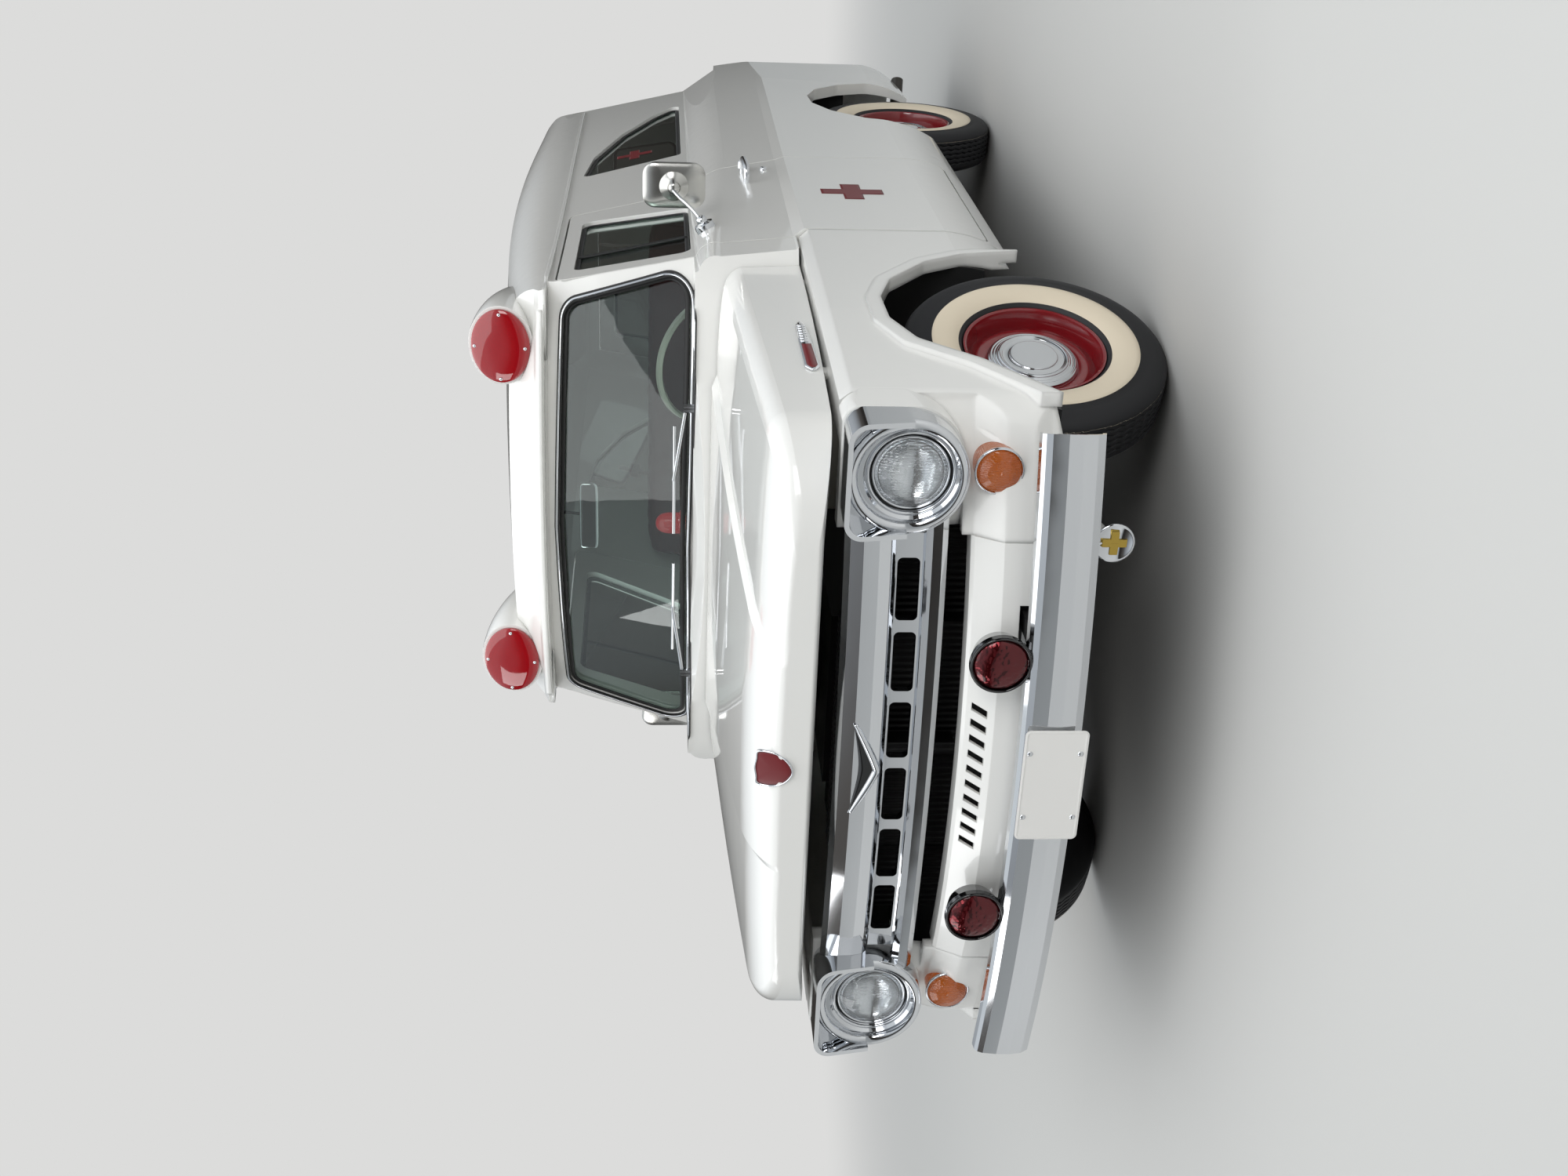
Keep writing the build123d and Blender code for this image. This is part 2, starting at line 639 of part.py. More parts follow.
with BuildPart() as front_fenders:
    add(fender.part)
    add(fender_lip.part)
    for y0, z in ((-300, 935.1), (450, 931.0)):
        add(block(824, 842, y0, y0 + 40, 920, z - SEAT))
    add(rod((LAMP[0], -800, LAMP[1]), (LAMP[0], -500, LAMP[1]), 104), mode=Mode.SUBTRACT)
    mirror(about=Plane.YZ)
save(front_fenders.part, "front_fenders")

wing_block = wing_outer.part

# Black inner arches over the front wheels.
HOUSING = [(-600, 400), (-560, 620), (-400, 790), (400, 790), (505 - SEAT, 700), (505 - SEAT, 400)]
HOUSING_SPACE = [(-594, 300), (-554, 617), (-397, 784), (398, 784), (499 - SEAT, 697), (499 - SEAT, 300)]
with BuildPart() as wheel_housings:
    add(across(HOUSING, 500, 900))
    add([across(HOUSING_SPACE, 506, 1000), fender.part, fender_lip.part], mode=Mode.SUBTRACT)
    add(wing_inner.part, mode=Mode.INTERSECT)
    mirror(about=Plane.YZ)
save(wheel_housings.part, "wheel_housings")

# Bright headlamp surrounds: a hooded square-shouldered upper half and a round lower lip.
lamp_x, lamp_z = LAMP
with BuildPart() as bezel:
    add(bezel_block(0, -830, LAMP_FACE_Y))
    add(bezel_block(-12, -900, -748), mode=Mode.SUBTRACT)
    add(block(500, 1000, -900, -762, 0, lamp_z + 6), mode=Mode.SUBTRACT)
    add(across([(LAMP_FACE_Y, 600), (LAMP_FACE_Y, 940), (-806, 940), (-813, 926), (-786, 766), (-770, 600)], 500, 1000),
        mode=Mode.INTERSECT)
    with Locations(Location((lamp_x, -755, lamp_z + BEZEL_DROP), (90, 0, 0))):
        Torus(BEZEL_R - 15, 15)
    add(turned([(0, 0), (LENS_R + 2, 0), (LENS_R + 2, 34), (104, 50), (112, 58), (112, 200), (0, 200)],
               (lamp_x, LAMP_FACE_Y, lamp_z), (0, -1, 0), (1, 0, 0)), mode=Mode.SUBTRACT)
with BuildPart() as headlamp_bezels:
    add(bezel.part)
    mirror(about=Plane.YZ)
save(headlamp_bezels.part, "headlamp_bezels")

with BuildPart() as headlamp_lenses:
    add(turned([(0, 4), (LENS_R + 1.7, 4), (LENS_R + 1.7, 42), (78, 50), (55, 58), (28, 62), (0, 63)],
               (lamp_x, LAMP_FACE_Y, lamp_z), (0, -1, 0), (1, 0, 0)))
    mirror(about=Plane.YZ)
save(headlamp_lenses.part, "headlamp_lenses")

# Bright grille: a broad bar above, six slots between struts and a lower bar, bowed seen from above.
grille_profile = [(-745, 905), (-777, 909), (-792, 896), (-798, 865), (-797, 828), (-790, 800), (-777, 788), (-770, 784),
                  (-770, 722), (-790, 719), (-811, 706), (-813, 684), (-797, 669), (-745, 668)]
slots = []
for near, far in zip(GRILLE_STRUTS[:-1], GRILLE_STRUTS[1:]):
    slots.append(along([(near + 15, 727), (far - 15, 727), (far - 15, 781), (near + 15, 781)], -950, -600, 13))
slots += [mirrored(slot) for slot in slots]
with BuildPart() as bezel_room:
    add(bezel_block(SEAT, -900, -600))
    mirror(about=Plane.YZ)
with BuildPart() as grille:
    add(bowed(grille_profile, -797, GRILLE_RADIUS, 650))
    add(slots + [bezel_room.part, wing_block, mirrored(wing_block), lamp_housing.part,
                 mirrored(lamp_housing.part)], mode=Mode.SUBTRACT)
save(grille.part, "grille")

# Painted apron below the grille with ten slanted louvres and two bracket holes.
apron_profile = [(-770, 612), (-822, 612), (-831, 604), (-866, 540), (-868, 470), (-846, 430), (-836, 430), (-856, 473),
                 (-854, 542), (-820, 598), (-770, 600)]
louvres = []
for index in range(10):
    x = -189 + 42 * index
    louvres.append(along([(x - 17, 556), (x + 3, 556), (x + 17, 592), (x - 3, 592)], -930, -805))
with BuildPart() as apron:
    add(bowed(apron_profile, FRONT_LOW_MIDDLE, FRONT_LOW_RADIUS, 640))
    add(block(-600 + SEAT, 600 - SEAT, -1000, -600, 400, 700), mode=Mode.INTERSECT)
    add(louvres + [along([(x - 48, 452), (x + 48, 452), (x + 48, 498), (x - 48, 498)], -930, -800) for x in (-RAIL_X, RAIL_X)],
        mode=Mode.SUBTRACT)
save(apron.part, "apron")

# Radiator core with its side plates and the brace in front of it.
with BuildPart() as radiator:
    add(block(-330, 330, -645, -585, RAIL_HIGH + SEAT, 896))
    add(block(-560, 560, -600, -588, RAIL_HIGH + SEAT, 880))
    add(block(-15, 15, -700, -640, 600, 880))
save(radiator.part, "radiator")

# Amber turn lamps on the wings.
turn_x, turn_z = TURN_LAMP
with BuildPart() as turn_lamps:
    add(turned([(0, 0), (55, 0), (55, 72), (48, 84), (30, 92), (0, 95)], (turn_x, -640, turn_z), (0, -1, 0), (1, 0, 0)))
    add(wing_block, mode=Mode.SUBTRACT)
    mirror(about=Plane.YZ)
save(turn_lamps.part, "turn_lamps")

# Front bumper, bowed and pressed, with a lug behind it for each bracket.
bumper_profile = [(-888, 487), (-905, 491), (-922, 488), (-930, 480), (-935, 466), (-939, 430), (-940, 396), (-937, 364),
                  (-926, 344), (-904, 338), (-901, 346), (-920, 352), (-929, 366), (-932, 398), (-931, 430), (-927, 463),
                  (-918, 479), (-904, 483), (-888, 479)]
with BuildPart() as front_bumper:
    add(bowed(bumper_profile, BUMPER_MIDDLE, BUMPER_RADIUS, BUMPER_HALF))
    for x in (-RAIL_X, RAIL_X):
        add(block(x - 24, x + 24, -880, -852, 480, 486))
        add(block(x - 24, x + 24, -864, -852, 462, 486))
save(front_bumper.part, "front_bumper")

# Black bells of the bumper lamps and their red lenses.
bell_x, bell_y, bell_z = BUMPER_LAMP
with BuildPart() as bumper_lamps:
    add(turned([(0, -58), (38, -56), (60, -40), (73, 0), (73, 14), (66, 14), (66, 2), (0, 2)],
               (bell_x, bell_y, bell_z), (0, -1, 0), (1, 0, 0)))
    add(rod((bell_x, -876, 470), (bell_x, -876, 500), 13))
    add([front_bumper.part, block(0, 900, -1000, -700, 0, 487)], mode=Mode.SUBTRACT)
    mirror(about=Plane.YZ)
save(bumper_lamps.part, "bumper_lamps")

with BuildPart() as bumper_lamp_lenses:
    add(turned([(0, 2 + SEAT), (65.7, 2 + SEAT), (65.7, 12), (50, 20), (25, 26), (0, 28)],
               (bell_x, bell_y, bell_z), (0, -1, 0), (1, 0, 0)))
    mirror(about=Plane.YZ)
save(bumper_lamp_lenses.part, "bumper_lamp_lenses")

# Blank number plate in front of the bumper.
PLATE_X = 45.0
with BuildPart() as number_plate:
    with BuildSketch(Plane.XZ.offset(944)):
        with Locations((PLATE_X, 406)):
            RectangleRounded(305, 152, 14)
            with GridLocations(178, 121, 2, 2):
                Circle(3.5, mode=Mode.SUBTRACT)
    extrude(amount=2.5)
    add([rod((x, -944, 400), (x, -918, 400), 12) for x in (PLATE_X - 60, PLATE_X + 60)])
    add(front_bumper.part, mode=Mode.SUBTRACT)
    add(block(-200, 300, -934, -800, 300, 520), mode=Mode.SUBTRACT)
save(number_plate.part, "number_plate")

# Wipers: pivot, arm and blade on the cowl.
with BuildPart() as wipers:
    add(rod((449, 472, 1225), (449, 472, 1268), 14))
    add(rod((449, 472, 1262), (215, 477, 1296), 5))
    add(rod((50, 452, 1294), (380, 506, 1294), 5))
    add([skin, windscreen_trim.part], mode=Mode.SUBTRACT)
    mirror(about=Plane.YZ)
save(wipers.part, "wipers")

# Roof lamp pods that sweep back into the roof, and their oval lenses.
pod_x, pod_y, pod_z = ROOF_LAMP
lean = Plane(origin=(pod_x, pod_y, pod_z), x_dir=(1, 0, 0),
             z_dir=(0, -cos(ROOF_LAMP_LEAN * pi / 180), sin(ROOF_LAMP_LEAN * pi / 180)))
with BuildPart() as roof_lamp_pods:
    with BuildSketch(lean.offset(-SEAT)):
        Ellipse(125, 101)
    for back, lift, wide, tall in ((120, 0, 119, 96), (290, -8, 92, 78), (480, -26, 50, 44)):
        with BuildSketch(Plane.XZ.offset(-pod_y - back)):
            with Locations((pod_x, pod_z + lift)):
                Ellipse(wide, tall)
    loft()
    add(skin, mode=Mode.SUBTRACT)
    mirror(about=Plane.YZ)
save(roof_lamp_pods.part, "roof_lamp_pods")

with BuildPart() as roof_lamp_lenses:
    with BuildSketch(lean):
        Ellipse(116, 91)
    extrude(amount=26)
    fillet(roof_lamp_lenses.edges().group_by(Axis.Y)[0], 15)
    add(skin, mode=Mode.SUBTRACT)
    mirror(about=Plane.YZ)
save(roof_lamp_lenses.part, "roof_lamp_lenses")

# Round tail lamps on the rear corners.
with BuildPart() as tail_lamps:
    add(rod((772, 3840, 790), (772, 3924, 790), 44))
    add(skin, mode=Mode.SUBTRACT)
    mirror(about=Plane.YZ)
save(tail_lamps.part, "tail_lamps")

# Firewall with the dashboard behind it.
with BuildPart() as dash_and_firewall:
    add(block(-798, 798, 505, 517, RAIL_HIGH + SEAT, 1192))
    add(across([(517, 1192), (735, 1186), (752, 1160), (740, 1070), (660, 1050), (517, 1050)], -798, 798))
    add(inner, mode=Mode.INTERSECT)
save(dash_and_firewall.part, "dash_and_firewall")

# Floor plate, load board, seat riser and the boxes over the rear wheels.
ARCH_BOX = (2372.0, 3216.0, 640.0, 800.0)
RISER = (1380.0, 1790.0, 660.0, 790.0)
FLOOR_LOW = RAIL_HIGH + SEAT
FLOOR_TOP = 572.0


def open_box(x0, x1, y0, y1, top, wall):
    """A sheet box over the frame, open below."""
    with BuildPart() as work:
        add(block(x0, x1, y0, y1, FLOOR_LOW, top))
        add(block(x0 + wall, x1 - wall, y0 + wall, y1 - wall, 0, top - wall), mode=Mode.SUBTRACT)
    return work.part


box_front, box_back, box_inner, box_top = ARCH_BOX
riser_front, riser_back, riser_half, riser_top = RISER
with BuildPart() as wheel_box:
    add(block(box_inner, 900, box_front, box_back, FLOOR_LOW, box_top))
    add(block(box_inner + 12, 1000, box_front + 12, box_back - 12, 0, box_top - 12), mode=Mode.SUBTRACT)
with BuildPart() as floor_pan:
    add(block(-798, 798, 517 + SEAT, 3846, FLOOR_LOW, FLOOR_TOP))
    for side in (1, -1):
        low, high = sorted((side * 700, side * 855))
        add(block(low, high, 775, 3846, FLOOR_LOW, FLOOR_TOP))
        low, high = sorted((side * (box_inner - SEAT), side * 900))
        add(block(low, high, box_front - SEAT, box_back + SEAT, 0, 1000), mode=Mode.SUBTRACT)
    add(block(-riser_half - SEAT, riser_half + SEAT, riser_front - SEAT, riser_back + SEAT, 0, 1000), mode=Mode.SUBTRACT)
    add(open_box(-riser_half, riser_half, riser_front, riser_back, riser_top, 12))
    add([wheel_box.part, mirrored(wheel_box.part)])
    add(inner, mode=Mode.INTERSECT)
    add(block(-LOAD_BOARD[0], LOAD_BOARD[0], LOAD_BOARD[1], LOAD_BOARD[2], FLOOR_TOP + SEAT, LOAD_BOARD[3]))
save(floor_pan.part, "floor_pan")

# Bench seat on the riser.
with BuildPart() as front_seat:
    add(across([(1335, 790 + SEAT), (1325, 930), (1690, 920), (1775, 1385), (1880, 1385), (1850, 790 + SEAT)], -650, 650, 26))
save(front_seat.part, "front_seat")

# Steering column and wheel.
WHEEL_CENTRE = (390.0, 1078.0, 1180.0)
COLUMN_DIR = Vector(0, -0.79, -0.613).normalized()
column_end = Vector(*WHEEL_CENTRE) + COLUMN_DIR * 20
column_start = Vector(*WHEEL_CENTRE) + COLUMN_DIR * 740
with BuildPart() as steering_column:
    add(rod(tuple(column_end), tuple(column_start), 24))
    add([dash_and_firewall.part, block(0, 900, 0, 511, 0, 2000)], mode=Mode.SUBTRACT)
save(steering_column.part, "steering_column")

with BuildPart() as steering_wheel:
    add(turned([(194, -8), (202, -14), (212, -8), (212, 6), (202, 12), (194, 6)], WHEEL_CENTRE, tuple(-COLUMN_DIR), (1, 0, 0)))
    add(turned([(0, -20 + SEAT), (34, -20 + SEAT), (30, 12), (0, 16)], WHEEL_CENTRE, tuple(-COLUMN_DIR), (1, 0, 0)))
    up_dir = Vector(1, 0, 0).cross(COLUMN_DIR)
    for angle in (90, 210, 330):
        reach = Vector(1, 0, 0) * cos(angle * pi / 180) * 203 + up_dir * sin(angle * pi / 180) * 203
        add(rod(WHEEL_CENTRE, tuple(Vector(*WHEEL_CENTRE) + reach), 7))
save(steering_wheel.part, "steering_wheel")

# Ladder frame with cross members, bumper brackets and a drawbar plate.
with BuildPart() as chassis_frame:
    for side in (1, -1):
        low, high = sorted((side * (RAIL_X - RAIL_HALF), side * (RAIL_X + RAIL_HALF)))
        add(block(low, high, -780, 3815, RAIL_LOW, RAIL_HIGH))
        low, high = sorted((side * (RAIL_X - 22), side * (RAIL_X + 22)))
        add(block(low, high, -852 + SEAT, -775, 462, 486))
    for y0, y1, z0, z1 in ((-700, -640, 460, RAIL_HIGH), (-330, -230, 452, 500), (880, 940, 530, RAIL_HIGH),
                           (1900, 1960, 530, RAIL_HIGH), (3750, 3815, 470, RAIL_HIGH)):
        add(block(-RAIL_X, RAIL_X, y0, y1, z0, z1))
    add(block(-80, 80, 3800, 3815, 400, RAIL_HIGH))
    with BuildSketch(Plane.XZ.offset(-3815)):
        with Locations((0, 435)):
            with GridLocations(90, 40, 2, 2):
                Circle(7)
    extrude(amount=15, mode=Mode.SUBTRACT)
save(chassis_frame.part, "chassis_frame")

# Engine, air cleaner, bell housing, gearbox and the shaft to the rear axle.
DIFF = (0.0, WHEELBASE, 355.0)
ENGINE_BACK = 200.0
BELL_BACK = 495.0
BOX_BACK = 880.0
with BuildPart() as engine_and_driveline:
    add(rod((0, BOX_BACK - 10, 482), (0, WHEELBASE - 181, 385), 34))
    add(block(-100, 100, 0, BOX_BACK + SEAT, 0, 1000), mode=Mode.SUBTRACT)
    add(block(-250, 250, -470, ENGINE_BACK, 500 + SEAT, 900))
    add(rod((0, -140, 900 + SEAT), (0, -140, 985), 170))
    add(block(-120, 120, ENGINE_BACK + SEAT, BELL_BACK, 500 + SEAT, 720))
    add(block(-90, 90, ENGINE_BACK + SEAT, BELL_BACK, 440, 524))
    add(block(-90, 90, BELL_BACK + SEAT, BOX_BACK, 440, 524))
save(engine_and_driveline.part, "engine_and_driveline")

# Front axle beam between the swivel eyes.
with BuildPart() as front_axle:
    add(block(-655, 655, -30, 30, 312, 370))
    for side in (1, -1):
        add(block(min(side * 640, side * KINGPIN_X), max(side * 640, side * KINGPIN_X), -20, 20, 312, 370))
        add(rod((side * KINGPIN_X, 0, 312), (side * KINGPIN_X, 0, 370), 33))
save(front_axle.part, "front_axle")

# Rear axle with its drums.
with BuildPart() as rear_axle:
    add(rod((-HUB_X + 30, WHEELBASE, AXLE_Z), (HUB_X - 30, WHEELBASE, AXLE_Z), 40))
    add(turned([(0, -110), (80, -95), (125, -20), (125, 20), (80, 95), (0, 110)], DIFF, (0, 1, 0), (1, 0, 0)))
    add(rod(DIFF, (0, WHEELBASE - 175, 383), 48))
    for side in (1, -1):
        add(rod((side * (HUB_X - 70), WHEELBASE, AXLE_Z), (side * (HUB_X - SEAT), WHEELBASE, AXLE_Z), 142))
save(rear_axle.part, "rear_axle")


def leaf_stack(middle_y, half, low, end_low):
    """One leaf spring: bottom and top arcs that meet the rail at their ends."""
    with BuildPart() as work:
        with BuildSketch(Plane.YZ.offset(RAIL_X - 28)):
            with BuildLine():
                ThreePointArc((middle_y - half, end_low), (middle_y, low), (middle_y + half, end_low))
                Line((middle_y + half, end_low), (middle_y + half, RAIL_LOW - SEAT))
                ThreePointArc((middle_y + half, RAIL_LOW - SEAT), (middle_y, low + 32), (middle_y - half, RAIL_LOW - SEAT))
                Line((middle_y - half, RAIL_LOW - SEAT), (middle_y - half, end_low))
            make_face()
        extrude(amount=56)
    return work.part


front_leaf = leaf_stack(0, 500, 370 + SEAT, 424)
rear_leaf = leaf_stack(WHEELBASE, 620, AXLE_Z + 40 + SEAT, 428)
with BuildPart() as leaf_springs:
    add([front_leaf, rear_leaf])
    mirror(about=Plane.YZ)
save(leaf_springs.part, "leaf_springs")

# Exhaust: silencer, pipe over the axle and the tail that leaves behind the left rear wheel.
EXHAUST_RUN = [(250, 420, 400), (250, 2350, 400), (250, 2600, 462), (250, 2950, 462), (300, 3300, 330), (640, 3640, 272),
               (812, 3800, 252)]
with BuildPart() as exhaust:
    for a, b in zip(EXHAUST_RUN[:-1], EXHAUST_RUN[1:]):
        add(rod(a, b, 27))
    for place in EXHAUST_RUN[1:-1]:
        with Locations(place):
            Sphere(27)
    add(rod((250, 1350, 400), (250, 1850, 400), 78))
    add(block(240, 260, 1820, 1840, 440, RAIL_HIGH))
save(exhaust.part, "exhaust")

# Swivels with their drums, turned to the steering angle of the parked vehicle.
swing = Location((KINGPIN_X, 0, 0)) * Location((0, 0, 0), (0, 0, STEER_REST)) * Location((-KINGPIN_X, 0, 0))
with BuildPart() as knuckle:
    for low, high in ((370 + SEAT, 402), (280, 312 - SEAT)):
        add(rod((KINGPIN_X, 0, low), (KINGPIN_X, 0, high), 33))
        add(block(KINGPIN_X, 740, -24, 24, low, high))
    add(rod((729, 0, AXLE_Z), (HUB_X - SEAT, 0, AXLE_Z), 142))


def wheel_solid(side, middle):
    """Steel wheel with its hub cap."""
    rings = [(0, -22), (90, -22), (120, 4), (150, 8), (179, -12), (179, -64), (RIM_R - SEAT, -64), (RIM_R - SEAT, 64),
             (179, 64), (179, 0), (152, 20), (124, 16), (122, 30), (96, 38), (60, 42), (0, 44)]
    return turned(rings, middle, (side, 0, 0), (0, 0, 1))


def tyre_solid(side, middle):
    """Tyre as a ring of eight flats."""
    rings = [(RIM_R, -60), (250, -TYRE_HALF), (316, -80), (TYRE_R, -52), (TYRE_R, 52), (316, 80), (250, TYRE_HALF),
             (RIM_R, 60)]
    return turned(rings, middle, (side, 0, 0), (0, 0, 1))


left_wheel = wheel_solid(1, (WHEEL_X, 0, AXLE_Z))
left_tyre = tyre_solid(1, (WHEEL_X, 0, AXLE_Z))
for side, word in ((1, "left"), (-1, "right")):
    turn = Location((side * KINGPIN_X, 0, 0)) * Location((0, 0, 0), (0, 0, STEER_REST)) * Location((-side * KINGPIN_X, 0, 0))
    pieces = (knuckle.part, left_wheel, left_tyre)
    for shape, name in zip(pieces, ("knuckle", "wheel_front", "tyre_front")):
        own = shape if side > 0 else mirrored(shape)
        save(own.moved(turn), f"{name}_{word}")
    for shape, name in ((left_wheel, "wheel_rear"), (left_tyre, "tyre_rear")):
        own = shape if side > 0 else mirrored(shape)
        save(own.moved(Location((0, WHEELBASE, 0))), f"{name}_{word}")
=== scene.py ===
from math import cos, pi, radians, sin

import bmesh
import bpy
import numpy as np
from bpy.props import FloatProperty, FloatVectorProperty, IntProperty, PointerProperty
from bpy.types import Operator, Panel, PropertyGroup
from mathutils import Matrix, Vector


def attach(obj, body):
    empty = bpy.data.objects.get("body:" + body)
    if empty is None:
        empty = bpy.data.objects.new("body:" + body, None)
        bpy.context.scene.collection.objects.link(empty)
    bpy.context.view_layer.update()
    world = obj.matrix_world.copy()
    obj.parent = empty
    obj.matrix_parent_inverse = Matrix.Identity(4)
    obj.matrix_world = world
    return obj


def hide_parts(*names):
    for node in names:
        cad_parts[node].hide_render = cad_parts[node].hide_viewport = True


bl_info = {
    "name": "Panel van ambulance",
    "version": (1, 0, 0),
    "blender": (4, 5, 0),
    "location": "3D View > Sidebar > Ambulance",
    "description": "Finishes and fine pieces of a late fifties panel van ambulance",
    "category": "Object",
}

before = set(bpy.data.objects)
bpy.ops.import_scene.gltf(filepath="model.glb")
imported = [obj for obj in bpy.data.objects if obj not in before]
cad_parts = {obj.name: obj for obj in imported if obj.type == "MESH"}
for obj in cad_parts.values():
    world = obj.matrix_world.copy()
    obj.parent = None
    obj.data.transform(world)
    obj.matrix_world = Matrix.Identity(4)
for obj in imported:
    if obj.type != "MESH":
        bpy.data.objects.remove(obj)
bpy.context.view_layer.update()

# Driving sizes in millimetres, with y measured back from the front axle. AXLE_SHIFT moves such a y to the
# frame, whose origin is at mid length.
AXLE_SHIFT = -1488.75
STEER_REST = radians(-16.0)
WHEELBASE = 2794.0
AXLE_Z = 352.0
WHEEL_X = 768.0
KINGPIN_X = 690.0

# Middles of the lamps on the vehicle's left.
HEADLAMP = (759.0, -690.0, 766.0)
TURN_LAMP = (757.0, -715.0, 558.0)
BUMPER_LAMP = (358.0, -905.0, 552.0)
ROOF_LAMP = (545.0, 736.0, 1823.0)
TAIL_LAMP = (772.0, 3924.0, 790.0)

FORWARD = (0, -1, 0)
BACKWARD = (0, 1, 0)
UP = (0, 0, 1)
SIDES = ((1, "left"), (-1, "right"))


# Numbers

def row(points):
    """Millimetres behind the front axle to metres in the frame: (x, y + shift, z)/1000."""
    p = np.asarray(points, dtype=float).copy()
    p[..., 1] += AXLE_SHIFT
    return p / 1000.0


def on_side(place, side):
    """A place on the left, or its mirror image on the right: (side*x, y, z)."""
    return np.array([side * place[0], place[1], place[2]], dtype=float)


def lathe(profile, centre, axis, steps, ripple=None, x_dir=UP):
    """Profile of (radius, depth) turned round an axis: p = c + a*depth + radius*(e1*cos t + e2*sin t).

    The ripple, a function of angle and profile arrays, is added to the radius and the depth."""
    prof = np.asarray(profile, dtype=float)
    a = np.array(axis, dtype=float)
    a /= np.linalg.norm(a)
    e1 = np.array(x_dir, dtype=float)
    e1 -= a * e1.dot(a)
    e1 /= np.linalg.norm(e1)
    e2 = np.cross(a, e1)
    t = np.linspace(0, 2 * pi, steps, endpoint=False)[:, None]
    r = np.repeat(prof[None, :, 0], steps, axis=0)
    d = np.repeat(prof[None, :, 1], steps, axis=0)
    if ripple is not None:
        dr, dd = ripple(t, r, d)
        r = r + dr
        d = d + dd
    ring = np.cos(t)[..., None] * e1 + np.sin(t)[..., None] * e2
    return np.asarray(centre, dtype=float) + d[..., None] * a + r[..., None] * ring


def turned(profile, centre, axis, steps, mark=0, ripple=None, x_dir=UP):
    """A lathe's grid as make_piece takes it: closed round the axis, open along the profile."""
    return lathe(profile, centre, axis, steps, ripple, x_dir), True, False, mark


def hoop(centre, axis, radius, depth, thick, deep, mark, steps=96):
    """A ring of oval section turned round an axis: radius + thick*cos u and depth + deep*sin u."""
    u = np.linspace(0, 2 * pi, 14, endpoint=False)
    section = np.stack([radius + thick * np.cos(u), depth + deep * np.sin(u)], axis=1)
    return lathe(section, centre, axis, steps), True, True, mark


def capped(grid):
    """A tube's grid with a ring of no radius added at both ends, so that it is closed."""
    first = np.repeat(grid[:1].mean(axis=1, keepdims=True), grid.shape[1], axis=1)
    last = np.repeat(grid[-1:].mean(axis=1, keepdims=True), grid.shape[1], axis=1)
    return np.concatenate([first, grid, last], axis=0)


def rod(path, radius, steps, mark=0, up=UP):
    """A closed rod along a path: p = path + radius*(n*cos t + b*sin t), n and b square to the path."""
    c = np.asarray(path, dtype=float)
    tangent = np.gradient(c, axis=0)
    tangent /= np.linalg.norm(tangent, axis=1)[:, None]
    b = np.cross(tangent, np.asarray(up, dtype=float))
    b /= np.linalg.norm(b, axis=1)[:, None]
    n = np.cross(b, tangent)
    t = np.linspace(0, 2 * pi, steps, endpoint=False)
    r = np.broadcast_to(np.asarray(radius, dtype=float).reshape(-1, 1), (len(c), 1))
    tube = c[:, None, :] + r[..., None] * (np.cos(t)[None, :, None] * n[:, None, :]
                                           + np.sin(t)[None, :, None] * b[:, None, :])
    return capped(tube), False, True, mark


def smooth_path(points, count, closed=False):
    """A curve through points: cubic Hermite blends with half-difference slopes, even in parameter."""
    p = np.asarray(points, dtype=float)
    n = len(p)
    if closed:
        slope = (np.roll(p, -1, axis=0) - np.roll(p, 1, axis=0)) / 2
        s = np.linspace(0, n, count, endpoint=False)
        i = np.floor(s).astype(int) % n
        j = (i + 1) % n
    else:
        slope = np.gradient(p, axis=0)
        s = np.linspace(0, n - 1, count)
        i = np.minimum(np.floor(s).astype(int), n - 2)
        j = i + 1
    f = (s - np.floor(s) if closed else s - i)[:, None]
    h00 = 2 * f ** 3 - 3 * f ** 2 + 1
    h10 = f ** 3 - 2 * f ** 2 + f
    h01 = -2 * f ** 3 + 3 * f ** 2
    h11 = f ** 3 - f ** 2
    return h00 * p[i] + h10 * slope[i] + h01 * p[j] + h11 * slope[j]


def filleted(points, radius, count=8):
    """A closed flat outline whose corners are arcs of a radius.

    An arc's centre is p + m*radius/sin h, m the corner's middle line and h half its angle, and the arc is
    (sin((1-t)w)*a + sin(tw)*b)/sin w about it, with w = pi - 2h."""
    p = np.asarray(points, dtype=float)
    back = np.roll(p, 1, axis=0) - p
    ahead = np.roll(p, -1, axis=0) - p
    back /= np.linalg.norm(back, axis=1)[:, None]
    ahead /= np.linalg.norm(ahead, axis=1)[:, None]
    middle = back + ahead
    middle /= np.linalg.norm(middle, axis=1)[:, None]
    half = np.arccos(np.clip((back * ahead).sum(axis=1), -1, 1)) / 2
    centre = p + middle * (radius / np.sin(half))[:, None]
    reach = (radius / np.tan(half))[:, None]
    a = p + back * reach - centre
    b = p + ahead * reach - centre
    w = (pi - 2 * half)[:, None, None]
    t = np.linspace(0, 1, count)[None, :, None]
    arc = (np.sin((1 - t) * w) * a[:, None] + np.sin(t * w) * b[:, None]) / np.sin(w)
    return (centre[:, None] + arc).reshape(-1, 2)


def box_outline(half_wide, half_tall, corner):
    """A rounded rectangle about the origin."""
    return filleted([(-half_wide, -half_tall), (half_wide, -half_tall), (half_wide, half_tall),
                     (-half_wide, half_tall)], corner)


def resampled(points, step):
    """A closed line walked in even steps: each coordinate is interpolated by the length along the line."""
    p = np.vstack([points, points[:1]])
    along = np.concatenate([[0.0], np.cumsum(np.linalg.norm(np.diff(p, axis=0), axis=1))])
    s = np.linspace(0, along[-1], int(round(along[-1] / step)), endpoint=False)
    return np.stack([np.interp(s, along, p[:, k]) for k in range(p.shape[1])], axis=1)


